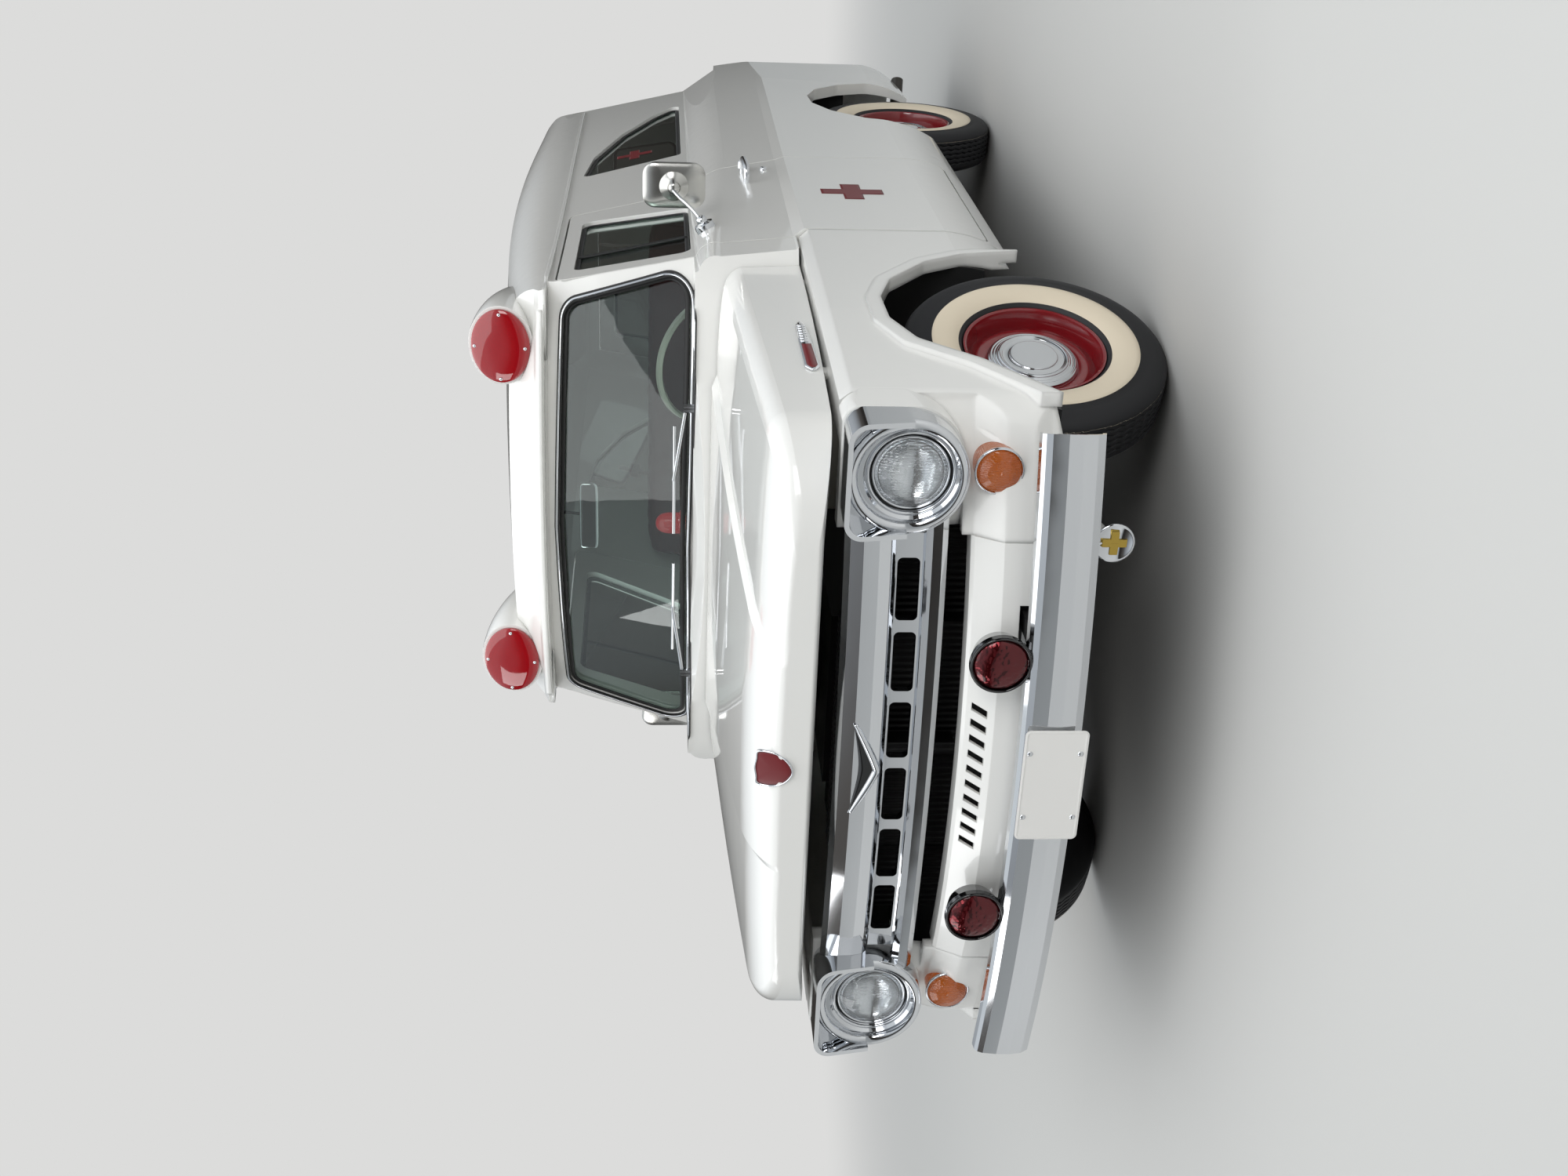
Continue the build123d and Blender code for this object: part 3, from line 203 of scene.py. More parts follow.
def offset_outline(points, amount):
    """A closed flat outline moved sideways: p + n*amount, n the mean normal at each point."""
    p = np.asarray(points, dtype=float)
    t = np.roll(p, -1, axis=0) - np.roll(p, 1, axis=0)
    t /= np.linalg.norm(t, axis=1)[:, None]
    n = np.stack([t[:, 1], -t[:, 0]], axis=1)
    area = (p[:, 0] * np.roll(p[:, 1], -1) - np.roll(p[:, 0], -1) * p[:, 1]).sum()
    return p + n * amount * np.sign(area)


def super_box(size, count, power=0.25):
    """A soft-edged box: signed powers of the cosines and sines of two angles, times the half sizes."""
    u = np.linspace(-pi, pi, count, endpoint=False)[:, None]
    v = np.linspace(-pi / 2, pi / 2, count // 2)[None, :]

    def soft(value):
        return np.sign(value) * np.abs(value) ** power

    x = soft(np.cos(v)) * soft(np.cos(u)) * size[0]
    y = soft(np.cos(v)) * soft(np.sin(u)) * size[1]
    z = soft(np.sin(v)) * soft(np.ones_like(u)) * size[2]
    return np.stack([x, y, z + 0 * x], axis=-1)


def lens_dome(centre, out, wide, tall, edge, peak, steps=72, rings=16):
    """A domed lens with a flat back: p = c + n*d + rho*(wide*cos t*e1 + tall*sin t*e2).

    n is the outward axis and d = edge + (peak - edge)*(1 - rho^3)^0.7."""
    n = np.array(out, dtype=float)
    e1 = np.array([1.0, 0.0, 0.0])
    e2 = np.cross(n, e1)
    t = np.linspace(0, 2 * pi, steps, endpoint=False)[:, None]
    front = np.sin(np.linspace(pi / 2, 0, rings))
    rho = np.concatenate([[0, 1], front])
    d = np.concatenate([[0, 0], edge + (peak - edge) * (1 - front ** 3) ** 0.7])
    ring = np.cos(t)[..., None] * wide * e1 + np.sin(t)[..., None] * tall * e2
    return np.asarray(centre, dtype=float) + d[None, :, None] * n + rho[None, :, None] * ring, True, False, 0


# Flat grids of thin trim

def ring_flat(outline, inner, outer):
    """The flat grid between two offsets of a closed outline: (1 - s)*inner + s*outer, s in three steps."""
    s = np.linspace(0, 1, 3)[None, :, None]
    low = offset_outline(outline, inner)
    high = offset_outline(outline, outer)
    return [(low[:, None] * (1 - s) + high[:, None] * s, True)]


def strip_flat(line, below, above, count):
    """The flat grid of a strip along a line of (a, b) points, from b - below to b + above at each place."""
    p = np.asarray(line, dtype=float)
    along = np.concatenate([[0.0], np.cumsum(np.linalg.norm(np.diff(p, axis=0), axis=1))])
    s = np.linspace(0, along[-1], count)
    a = np.interp(s, along, p[:, 0])[:, None]
    b = np.interp(s, along, p[:, 1])[:, None]
    low = np.interp(s, along, np.broadcast_to(below, len(p)))[:, None]
    high = np.interp(s, along, np.broadcast_to(above, len(p)))[:, None]
    v = np.linspace(0, 1, 3)[None, :]
    return [(np.stack([a + 0 * v, b - low * (1 - v) + high * v], axis=-1), False)]


def cross_flats(centre, arm, width, count=9):
    """A plain cross of five flat grids: the middle square and an arm on each of its sides."""
    inner = width / 2
    spans = {-1: (-arm, -inner), 0: (-inner, inner), 1: (inner, arm)}
    flats = []
    for a, b in ((0, 0), (1, 0), (-1, 0), (0, 1), (0, -1)):
        u, v = np.meshgrid(np.linspace(*spans[a], count), np.linspace(*spans[b], count), indexing="ij")
        flats.append((np.stack([centre[0] + u, centre[1] + v], axis=-1), False))
    return flats


# Meshes

FINISHES = {}
MERGE = 1e-6


def make_piece(name, grids, finishes, body, sharp=None):
    """One mesh from grids of (points, close u, close v, material index), with faces turned outwards.

    Points that meet are merged. Edges that bend by more than sharp degrees are shaded sharp."""
    verts = []
    faces = []
    marks = []
    uvs = []
    first = 0
    for points, close_u, close_v, mark in grids:
        nu, nv = points.shape[:2]
        iu = np.arange(nu if close_u else nu - 1)
        iv = np.arange(nv if close_v else nv - 1)
        a, b = np.meshgrid(iu, iv, indexing="ij")
        a2 = (a + 1) % nu
        b2 = (b + 1) % nv
        quads = np.stack([a * nv + b, a2 * nv + b, a2 * nv + b2, a * nv + b2], axis=-1).reshape(-1, 4)
        faces.append(quads + first)
        marks.append(np.full(len(quads), mark) if np.isscalar(mark) else np.asarray(mark).reshape(-1))
        u = np.stack([a, a + 1, a + 1, a], axis=-1) / max(nu, 1)
        v = np.stack([b, b, b + 1, b + 1], axis=-1) / max(nv - 1, 1)
        uvs.append(np.stack([u, v], axis=-1).reshape(-1, 2))
        verts.append(points.reshape(-1, 3))
        first += nu * nv
    mesh = bpy.data.meshes.new(name)
    mesh.from_pydata(row(np.concatenate(verts)).tolist(), [], np.concatenate(faces).tolist())
    for key in finishes:
        mesh.materials.append(FINISHES[key])
    mesh.polygons.foreach_set("material_index", np.concatenate(marks).astype(np.int32))
    uv_map = mesh.uv_layers.new(name="UVMap")
    uv_map.data.foreach_set("uv", np.concatenate(uvs).astype(np.float32).reshape(-1))
    work = bmesh.new()
    work.from_mesh(mesh)
    bmesh.ops.remove_doubles(work, verts=work.verts, dist=MERGE)
    bmesh.ops.dissolve_degenerate(work, edges=work.edges, dist=MERGE / 10)
    bmesh.ops.recalc_face_normals(work, faces=work.faces)
    for edge in work.edges:
        if sharp and len(edge.link_faces) == 2 and edge.calc_face_angle(0.0) > radians(sharp):
            edge.smooth = False
    work.to_mesh(mesh)
    work.free()
    mesh.polygons.foreach_set("use_smooth", np.ones(len(mesh.polygons), dtype=bool))
    mesh.update()
    piece = bpy.data.objects.new(name, mesh)
    bpy.context.scene.collection.objects.link(piece)
    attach(piece, body)
    return piece


def add_modifier(piece, kind, **values):
    """Adds a modifier and sets its values by name."""
    mod = piece.modifiers.new(kind.lower(), kind)
    for key, value in values.items():
        setattr(mod, key, value)


def laid_sheet(name, flats, axis, plane, way, target, body, key, thick, lift=0.001):
    """Flat grids on a plane square to an axis, laid along it on a node's surface and made thick outwards."""
    k = "XYZ".index(axis)
    grids = [(np.insert(flat, k, float(plane), axis=-1), closed, False, 0) for flat, closed in flats]
    piece = make_piece(name, grids, (key,), body)
    out = Vector([way if i == k else 0 for i in range(3)])
    work = bmesh.new()
    work.from_mesh(piece.data)
    bmesh.ops.reverse_faces(work, faces=[f for f in work.faces if f.normal.dot(out) < 0])
    work.to_mesh(piece.data)
    work.free()
    add_modifier(piece, "SHRINKWRAP", target=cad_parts[target], wrap_method="PROJECT",
                 use_project_x=k == 0, use_project_y=k == 1, use_project_z=k == 2,
                 use_negative_direction=True, use_positive_direction=True,
                 wrap_mode="ABOVE_SURFACE", offset=lift)
    add_modifier(piece, "SOLIDIFY", thickness=thick, offset=1.0)


# Finishes

def linear(hex_text):
    """sRGB hex to linear: c/12.92 below 0.04045, else ((c + 0.055)/1.055)^2.4."""
    c = np.array([int(hex_text[i:i + 2], 16) for i in (0, 2, 4)]) / 255.0
    c = np.where(c <= 0.04045, c / 12.92, ((c + 0.055) / 1.055) ** 2.4)
    return (*c.tolist(), 1.0)


def node(tree, kind, links=(), **settings):
    """Adds one node, sets its properties and inputs by name, and makes its links of (input, socket)."""
    made = tree.nodes.new(kind)
    for key, value in settings.items():
        if hasattr(made, key):
            setattr(made, key, value)
        else:
            made.inputs[key.replace("_", " ")].default_value = value
    for name, source in links:
        tree.links.new(source, made.inputs[name])
    return made


def finish(name, colour, metallic=0.0, roughness=0.5, ior=1.5, coat=0.0, **more):
    """A material with its principled node's constants set; returns it with the tree and the node."""
    mat = bpy.data.materials.new(name)
    mat.use_nodes = True
    bsdf = mat.node_tree.nodes["Principled BSDF"]
    values = {"Base Color": linear(colour) if isinstance(colour, str) else (*colour, 1.0),
              "Metallic": metallic, "Roughness": roughness, "IOR": ior, "Coat Weight": coat,
              "Coat Roughness": 0.03}
    values.update({key.replace("_", " "): value for key, value in more.items()})
    for key, value in values.items():
        bsdf.inputs[key].default_value = value
    return mat, mat.node_tree, bsdf


def bumped(tree, bsdf, height, strength, distance):
    """Sends a height through a bump node to the principled node."""
    bump = node(tree, "ShaderNodeBump", [("Height", height)], Strength=strength, Distance=distance)
    tree.links.new(bump.outputs["Normal"], bsdf.inputs["Normal"])


def rippled(tree, bsdf, scale, strength, distance, detail=2.0):
    """A noise bump on Object coordinates, for waves or grain."""
    coords = node(tree, "ShaderNodeTexCoord")
    noise = node(tree, "ShaderNodeTexNoise", [("Vector", coords.outputs["Object"])], Scale=scale,
                 Detail=detail)
    bumped(tree, bsdf, noise.outputs["Fac"], strength, distance)


def soft_edges(tree, bsdf, radius):
    """Rounds the look of pressed edges; the radius is in metres."""
    bevel = node(tree, "ShaderNodeBevel", samples=6, Radius=radius)
    tree.links.new(bevel.outputs["Normal"], bsdf.inputs["Normal"])


def mixed(tree, amount, first, second, output):
    """Blends two shaders by an amount and sends them to the output."""
    mix = node(tree, "ShaderNodeMixShader", [("Fac", amount), (1, first.outputs[0]), (2, second.outputs[0])])
    tree.links.new(mix.outputs[0], output.inputs["Surface"])


# Short name, the material's name, colour, settings, and its noise of scale, strength, distance and detail.
PLAIN_FINISHES = (
    # The body's enamel on the inside, thinner and duller.
    ("inside", "ivory_enamel_inside", "D9D6CB", dict(roughness=0.45, coat=0.2), ()),
    # Dark red sign paint of the crosses, the spear's inlay and the shield's field, flatter than the body.
    ("cross_red", "dark_red_sign_paint_brushed", "6E1A1F", dict(roughness=0.4), ()),
    # Chrome plate on pressed steel: mirror bright with the faint waves of the press.
    ("chrome", "chrome_plated_pressed_steel", "D9DBDE", dict(metallic=1.0, roughness=0.06),
     (9.0, 0.05, 0.004, 1.0)),
    # Stainless steel of the mirror shells and the sill's strip, buffed: pale with soft reflections.
    ("stainless", "stainless_steel_buffed", "C4C3BF", dict(metallic=1.0, roughness=0.22), ()),
    # Brass of the medallion's cross, cast and polished.
    ("brass", "brass_cast_polished", "B59A4C", dict(metallic=1.0, roughness=0.22), ()),
    # Frame black: brushed chassis enamel, satin and a little dusty.
    ("black", "chassis_black_enamel_brushed", "141414", dict(roughness=0.5), (120.0, 0.15, 0.001)),
    # Gloss black enamel of the bumper lamps' bells and the chevron's field.
    ("gloss_black", "gloss_black_enamel_sprayed", "0B0B0C", dict(roughness=0.12, coat=0.7), ()),
    # Cast iron with an oily grey skin.
    ("iron", "cast_iron_sand_cast", "2D2C2B", dict(metallic=0.6, roughness=0.6), (300.0, 0.3, 0.001, 4.0)),
    # Mild steel, rolled, dull from use.
    ("steel", "mild_steel_rolled", "55524E", dict(metallic=0.9, roughness=0.45), (80.0, 0.15, 0.001)),
    # Moulded rubber of seals and mats.
    ("rubber", "black_rubber_moulded", "101010", dict(roughness=0.55), ()),
    # Rim of the steering wheel, pale and glossy.
    ("wheel_plastic", "ivory_hard_plastic_moulded", "CFCBBE", dict(roughness=0.25), ()),
    # Blank plate: white baked enamel.
    ("plate", "white_enamel_baked", "E6E4E0", dict(roughness=0.3, coat=0.3), ()),
    # Silvered glass of the door mirrors and the headlamp bowls: it shows the room.
    ("mirror", "silvered_glass_mirror", "E8EAEC", dict(metallic=1.0, roughness=0.02), ()),
    # Dark red vinyl of the bench with a fine pebble grain.
    ("vinyl", "dark_red_vinyl_embossed", "43141A", dict(roughness=0.45), (330.0, 0.35, 0.0015)),
    # Ruby glass domes of the roof lamps: deep red and glossy, lit a little from within.
    ("red_dome", "ruby_glass_blown", "8E0B14",
     dict(roughness=0.06, coat=0.8, Subsurface_Weight=0.15, Emission_Color=linear("8E0B14"),
          Emission_Strength=0.12), (60.0, 0.12, 0.001, 1.0)),
    # Ruby glass over a silvered bowl: nearly black where the room is dark, bright red where light returns.
    ("dark_dome", "ruby_glass_over_silvered_bowl", "560810", dict(metallic=0.75, roughness=0.1, coat=0.6),
     (55.0, 0.9, 0.006, 1.0)),
)


def paint_finishes(look):
    """All finishes by short name."""
    made = {}
    # Alkyd enamel, sprayed and rubbed down: a clean glossy ivory with a sharp coat reflection. On the wings
    # the pressed arch lips flow into the panel with broader soft edges.
    for key, name, radius in (("ivory", "ivory_enamel_sprayed", 0.004),
                              ("wing_ivory", "ivory_enamel_on_wings", 0.02)):
        made[key], tree, bsdf = finish(name, look.paint, roughness=0.28, coat=0.9)
        soft_edges(tree, bsdf, radius)
    # Dark red wheel enamel, glossy.
    made["red_paint"] = finish("dark_red_enamel_sprayed", look.wheel_red, roughness=0.25, coat=0.8)[0]
    for key, name, colour, settings, noise in PLAIN_FINISHES:
        made[key], tree, bsdf = finish(name, colour, **settings)
        if noise:
            rippled(tree, bsdf, *noise)
    made["glass"] = window_glass()
    made["lamp_glass"] = lens_glass("clear_lens_glass_pressed", "F2F5F6", glow=0.0, fine=45.0, clear=0.9)
    made["red_lens"] = lens_glass("red_lens_glass_pressed", "B0101A", glow=0.25, fine=60.0, clear=0.55)
    made["amber_lens"] = lens_glass("amber_lens_plastic_moulded", "C4661C", glow=0.08, fine=75.0, clear=0.5)
    made["tyre"] = tyre_rubber(look)
    made["core"] = radiator_core()
    return made


def window_glass():
    """Toughened sheet glass: clear with a faint green, mostly a reflection of the room over a dim inside."""
    mat, tree, bsdf = finish("toughened_sheet_glass", "DDE8E4", roughness=0.0, ior=1.52,
                             Transmission_Weight=1.0)
    path = node(tree, "ShaderNodeLightPath")
    clear = node(tree, "ShaderNodeBsdfTransparent", Color=linear("D3E0DC"))
    mixed(tree, path.outputs["Is Shadow Ray"], bsdf, clear, tree.nodes["Material Output"])
    return mat


def lens_glass(name, hex_text, glow, fine, clear):
    """Pressed lens: flutes across X and somewhat coarser cells break up the light from the bowl behind."""
    mat, tree, bsdf = finish(name, hex_text, roughness=0.08, coat=0.6, Transmission_Weight=clear,
                             Emission_Color=linear(hex_text), Emission_Strength=glow)
    coords = node(tree, "ShaderNodeTexCoord")
    wave = node(tree, "ShaderNodeTexWave", [("Vector", coords.outputs["Object"])], wave_type="BANDS",
                bands_direction="X", Scale=fine, Distortion=0.6, Detail=1.0)
    checks = node(tree, "ShaderNodeTexVoronoi", [("Vector", coords.outputs["Object"])], Scale=fine * 2)
    both = node(tree, "ShaderNodeMath", [(0, wave.outputs["Fac"]), (1, checks.outputs["Distance"])])
    bumped(tree, bsdf, both.outputs[0], strength=0.6, distance=0.002)
    return mat


def tyre_rubber(look):
    """Cured rubber with a cream side band, picked by the radius that the UV map's v holds."""
    mat, tree, bsdf = finish("cured_tyre_rubber_moulded", "17171A", roughness=0.6)
    coords = node(tree, "ShaderNodeUVMap", uv_map="UVMap")
    split = node(tree, "ShaderNodeSeparateXYZ", [("Vector", coords.outputs["UV"])])
    above = node(tree, "ShaderNodeMath", [(0, split.outputs["Y"])], operation="GREATER_THAN")
    above.inputs[1].default_value = look.band_inner
    below = node(tree, "ShaderNodeMath", [(0, split.outputs["Y"])], operation="LESS_THAN")
    below.inputs[1].default_value = look.band_outer
    band = node(tree, "ShaderNodeMath", [(0, above.outputs[0]), (1, below.outputs[0])],
                operation="MULTIPLY")
    mix = node(tree, "ShaderNodeMix", [("Factor", band.outputs[0])], data_type="RGBA",
               A=linear("17171A"), B=linear("E3D6BF"))
    tree.links.new(mix.outputs["Result"], bsdf.inputs["Base Color"])
    return mat


def radiator_core():
    """Black tube and fin core: upright fins 18 mm apart, drawn as bands across X."""
    mat, tree, bsdf = finish("black_brass_fin_core", "0C0C0D", metallic=0.4, roughness=0.5)
    coords = node(tree, "ShaderNodeTexCoord")
    wave = node(tree, "ShaderNodeTexWave", [("Vector", coords.outputs["Object"])], wave_type="BANDS",
                bands_direction="X", Scale=17.5)
    bumped(tree, bsdf, wave.outputs["Fac"], strength=1.0, distance=0.006)
    return mat


# Colour of the far backdrop, and where the floor starts and ends its fade to it, in metres.
BACKDROP = "DCDCDB"
FADE = (3.2, 9.0)


def stage_floor():
    """Pale honed stone near the vehicle that fades, for the camera alone, to the backdrop's colour."""
    mat, tree, bsdf = finish("pale_stone_floor_honed", "BDBCB9", roughness=0.6)
    coords = node(tree, "ShaderNodeTexCoord")
    reach = node(tree, "ShaderNodeVectorMath", [("Vector", coords.outputs["Object"])], operation="LENGTH")
    fade = node(tree, "ShaderNodeMapRange", [("Value", reach.outputs["Value"])],
                interpolation_type="SMOOTHSTEP", From_Min=FADE[0], From_Max=FADE[1])
    path = node(tree, "ShaderNodeLightPath")
    amount = node(tree, "ShaderNodeMath",
                  [(0, fade.outputs["Result"]), (1, path.outputs["Is Camera Ray"])], operation="MULTIPLY")
    pale = node(tree, "ShaderNodeEmission", Color=linear(BACKDROP), Strength=1.0)
    mixed(tree, amount.outputs[0], bsdf, pale, tree.nodes["Material Output"])
    return mat


# Finish and the CAD nodes that wear it.
FINISH_NODES = {
    "ivory": "body_shell hood apron roof_lamp_pods rear_hinges door_left door_right rear_door_left "
             "rear_door_right",
    "wing_ivory": "front_fenders",
    "inside": "dash_and_firewall",
    "glass": "windscreen_glass quarter_glass door_glass_left door_glass_right rear_glass_left "
             "rear_glass_right",
    "rubber": "windscreen_trim floor_pan",
    "chrome": "headlamp_bezels grille front_bumper wipers door_fittings_left door_fittings_right",
    "lamp_glass": "headlamp_lenses",
    "amber_lens": "turn_lamps",
    "red_lens": "bumper_lamp_lenses roof_lamp_lenses tail_lamps",
    "gloss_black": "bumper_lamps",
    "plate": "number_plate",
    "core": "radiator",
    "vinyl": "front_seat",
    "wheel_plastic": "steering_wheel",
    "black": "steering_column chassis_frame leaf_springs wheel_housings",
    "iron": "engine_and_driveline front_axle rear_axle knuckle_left knuckle_right",
    "steel": "exhaust",
    "red_paint": "wheel_front_left wheel_front_right wheel_rear_left wheel_rear_right",
    "tyre": "tyre_front_left tyre_front_right tyre_rear_left tyre_rear_right",
}


# Settings

def length_setting(name, text, default):
    """A length in metres."""
    return FloatProperty(name=name, description=text, unit="LENGTH", default=default)


def power_setting(name, text, default):
    """A light's power in watts."""
    return FloatProperty(name=name, description=text, unit="POWER", default=default)


def colour_setting(name, text, hex_text):
    """A colour given as sRGB hex."""
    return FloatVectorProperty(name=name, description=text, subtype="COLOR", size=3, min=0.0, max=1.0,
                               default=linear(hex_text)[:3])


class AmbulanceLook(PropertyGroup):
    """Colours and the tyre's side band."""

    paint: colour_setting("Body paint", "Colour of the body enamel", "E9E8E4")
    wheel_red: colour_setting("Wheel paint", "Colour of the wheel enamel", "7C0D16")
    band_inner: length_setting("Band inside", "Radius where the pale side band starts", 0.203)
    band_outer: length_setting("Band outside", "Radius where the pale side band ends", 0.275)


class AmbulanceTyre(PropertyGroup):
    """The tyre's section and tread."""

    radius: length_setting("Tyre radius", "Outer radius of the tread", 0.352)
    half_width: length_setting("Half width", "Half the section width", 0.0848)
    groove_depth: length_setting("Groove depth", "Depth of the tread grooves", 0.008)
    groove_count: IntProperty(
        name="Zigzags", description="Zigzags of a groove round the tyre", default=60, min=1)


class AmbulanceWheel(PropertyGroup):
    """The hub cap and the rings pressed in it."""

    cap_radius: length_setting("Cap radius", "Outer radius of the hub cap", 0.1225)
    ring_pitch: length_setting("Ring pitch", "Distance between the pressed rings", 0.0075)
    ring_height: length_setting("Ring height", "Height of the pressed rings", 0.0011)


class AmbulanceStage(PropertyGroup):
    """Camera and light."""

    lens: FloatProperty(
        name="Lens", description="Focal length of the picture's camera", unit="CAMERA", default=39.8)
    key_power: power_setting("Key light", "Power of the large light overhead", 250.0)
    fill_power: power_setting("Fill light", "Power of the light in front", 150.0)


# Pieces

class AMBULANCE_OT_paint_frame(Operator):
    """Gives every CAD piece its finish"""

    bl_idname = "ambulance.paint_frame"
    bl_label = "Paint the CAD pieces"

    def execute(self, context):
        FINISHES.update(paint_finishes(context.scene.ambulance_look))
        for key, names in FINISH_NODES.items():
            for name in names.split():
                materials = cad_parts[name].data.materials
                materials.clear()
                materials.append(FINISHES[key])
        return {"FINISHED"}


# Wheel: name, side, distance behind the front axle, steering angle at rest.
WHEELS = (
    ("front_left", 1, 0.0, STEER_REST),
    ("front_right", -1, 0.0, STEER_REST),
    ("rear_left", 1, WHEELBASE, 0.0),
    ("rear_right", -1, WHEELBASE, 0.0),
)


def wheel_frame(side, y, steer):
    """Centre and outward axis of a wheel, turned about its kingpin by the steering angle."""
    reach = WHEEL_X - KINGPIN_X if steer else 0.0
    base = KINGPIN_X if steer else WHEEL_X
    axis = np.array([side * cos(steer), side * sin(steer), 0.0])
    centre = np.array([side * base, y, AXLE_Z]) + axis * reach
    return centre, axis


def radius_in_uv(piece, centre, axis, outer=0.05):
    """Each outer point's distance from the wheel's axis goes in the UV map's v; inner points get 0."""
    co = np.empty(len(piece.data.vertices) * 3)
    piece.data.vertices.foreach_get("co", co)
    local = co.reshape(-1, 3) - row(centre)
    depth_at = local @ axis
    radial = np.linalg.norm(local - depth_at[:, None] * axis, axis=1)
    value = np.where(depth_at > outer, radial, 0.0)
    index = np.empty(len(piece.data.loops), dtype=np.int32)
    piece.data.loops.foreach_get("vertex_index", index)
    uv = np.stack([np.zeros(len(index)), value[index]], axis=1)
    piece.data.uv_layers["UVMap"].data.foreach_set("uv", uv.astype(np.float32).reshape(-1))


class AMBULANCE_OT_tyres(Operator):
    """Tyres with ribs, zigzag grooves and a pale side band"""

    bl_idname = "ambulance.tyres"
    bl_label = "Tyres"

    def execute(self, context):
        s = context.scene.ambulance_tyre
        top = s.radius * 1000
        half = s.half_width * 1000
        depth = s.groove_depth * 1000
        count = s.groove_count
        side = [(191, 60), (196, 66), (203, 72), (204.5, 74), (240, 83.6), (262, half), (274, 84),
                (275, 82.6), (300, 81.4), (322, 77), (338, 69.5), (346, 61), (350.5, 54)]
        tread, drop = 52, 1.5
        crown = [(top - drop * (x / tread) ** 2, x) for x in np.linspace(-tread, tread, 53)]
        left = np.array([(r, -d) for r, d in side])
        right = np.array([(r, d) for r, d in side[::-1]])
        profile = np.concatenate([left, crown, right])
        groove_places = (-36, -18, 0, 18, 36)
        swing_width, half_groove, slope = 3.0, 1.5, 1.2
        sipe_inner, sipe_outer, sipe_sharpness, tread_low = 40, 60, 9, 345

        def grooves(t, r, d):
            """Five grooves swung sideways by a triangle wave of the angle, and sipes at the shoulders."""
            turn = t * count / (2 * pi)
            swing = swing_width * (np.abs((turn % 1.0) - 0.5) * 4 - 1)
            total = np.zeros_like(r)
            for place in groove_places:
                across = np.abs(d - place - swing)
                total = np.maximum(total, np.clip(1 - (across - half_groove) / slope, 0, 1))
            sipes = np.clip(1 - np.abs(((turn * 2) % 1.0) - 0.5) * sipe_sharpness, 0, 1)
            shoulder = (np.abs(d) > sipe_inner) & (np.abs(d) < sipe_outer)
            total = np.maximum(total, sipes * shoulder)
            return -depth * total * (r > tread_low), np.zeros_like(d)

        for name, way, y, steer in WHEELS:
            centre, axis = wheel_frame(way, y, steer)
            grid = lathe(profile, centre, axis, 360, grooves)
            piece = make_piece(f"tyre_visual_{name}", [(grid, True, True, 0)], ("tyre",), f"wheel_{name}")
            radius_in_uv(piece, centre, axis)
            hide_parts(f"tyre_{name}")
        return {"FINISHED"}


class AMBULANCE_OT_wheels(Operator):
    """Pressed steel wheels with bright hub caps"""

    bl_idname = "ambulance.wheels"
    bl_label = "Wheels and hub caps"

    def execute(self, context):
        s = context.scene.ambulance_wheel
        cap = s.cap_radius * 1000
        pitch = s.ring_pitch * 1000
        height = s.ring_height * 1000
        rim = [(0, -22), (90, -22), (120, 4), (150, 8), (168, -4), (176, -14), (177, -58), (181, -63),
               (189.5, -64), (189.5, -60), (184, -50), (184, -8), (184, 50), (189.5, 60), (189.5, 64),
               (185, 64.5), (181, 62), (178, 54), (176, 30), (172, 6), (160, 10), (152, 19), (146, 21),
               (124, 17), (110, 10), (0, 10)]
        dome = [(cap, 15), (cap + 0.5, 20), (cap - 2, 26), (cap - 8, 30), (cap - 14, 31), (96, 35),
                (94, 38.5), (90, 39.5), (84, 38), (80, 36.5), (66, 38), (64, 41), (60, 43), (40, 43.6),
                (22, 43.8), (0, 44)]
        ring_inner, ring_outer, blend = 84, 117, 3

        def rings(t, r, d):
            """Rings pressed in the cap's slope: height*(1 + cos(2*pi*r/pitch))/2, faded at both ends."""
            zone = np.clip((r - ring_inner) / blend, 0, 1) * np.clip((ring_outer - r) / blend, 0, 1)
            return np.zeros_like(r), height * (1 + np.cos(2 * pi * r / pitch)) / 2 * zone

        for name, way, y, steer in WHEELS:
            centre, axis = wheel_frame(way, y, steer)
            grids = [turned(rim, centre, axis, 96),
                     turned(smooth_path(dome, 240), centre, axis, 120, 1, rings)]
            piece = make_piece(f"wheel_visual_{name}", grids, ("red_paint", "chrome"), f"wheel_{name}",
                               sharp=35)
            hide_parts(f"wheel_{name}")
        return {"FINISHED"}


class AMBULANCE_OT_headlamps(Operator):
    """Headlamp lenses with their bright bowls and the three rings round each"""

    bl_idname = "ambulance.headlamps"
    bl_label = "Headlamps"

    def execute(self, context):
        bowl = [(0, 10), (30, 12), (55, 18), (74, 28), (83, 38), (85.5, 40), (87, 38), (85, 30), (76, 18),
                (56, 8), (30, 5.5), (0, 5)]
        lens_radius, lens_edge, lens_rise = 84.5, 43, 17
        x = np.linspace(0, 1, 24)
        lens = np.stack([lens_radius * (1 - x), lens_edge + lens_rise * (1 - (1 - x) ** 2)], axis=1)
        grids = []
        rings = []
        for side, _ in SIDES:
            centre = on_side(HEADLAMP, side)
            grids.append(turned(smooth_path(bowl, 40), centre, FORWARD, 64, 1))
            grids.append(turned(lens, centre, FORWARD, 96))
            rings.append(hoop(centre, FORWARD, 87.5, 42, 3.4, 6.0, 0))
            rings.append(hoop(centre, FORWARD, 93.5, 39, 2.6, 3.4, 1))
            rings.append(hoop(centre, FORWARD, 100.5, 48, 4.6, 5.0, 0))
        piece = make_piece("headlamp_lens_and_bowl", grids, ("lamp_glass", "mirror"), "root")
        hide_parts("headlamp_lenses")
        make_piece("headlamp_rings", rings, ("chrome", "rubber"), "root")
        return {"FINISHED"}


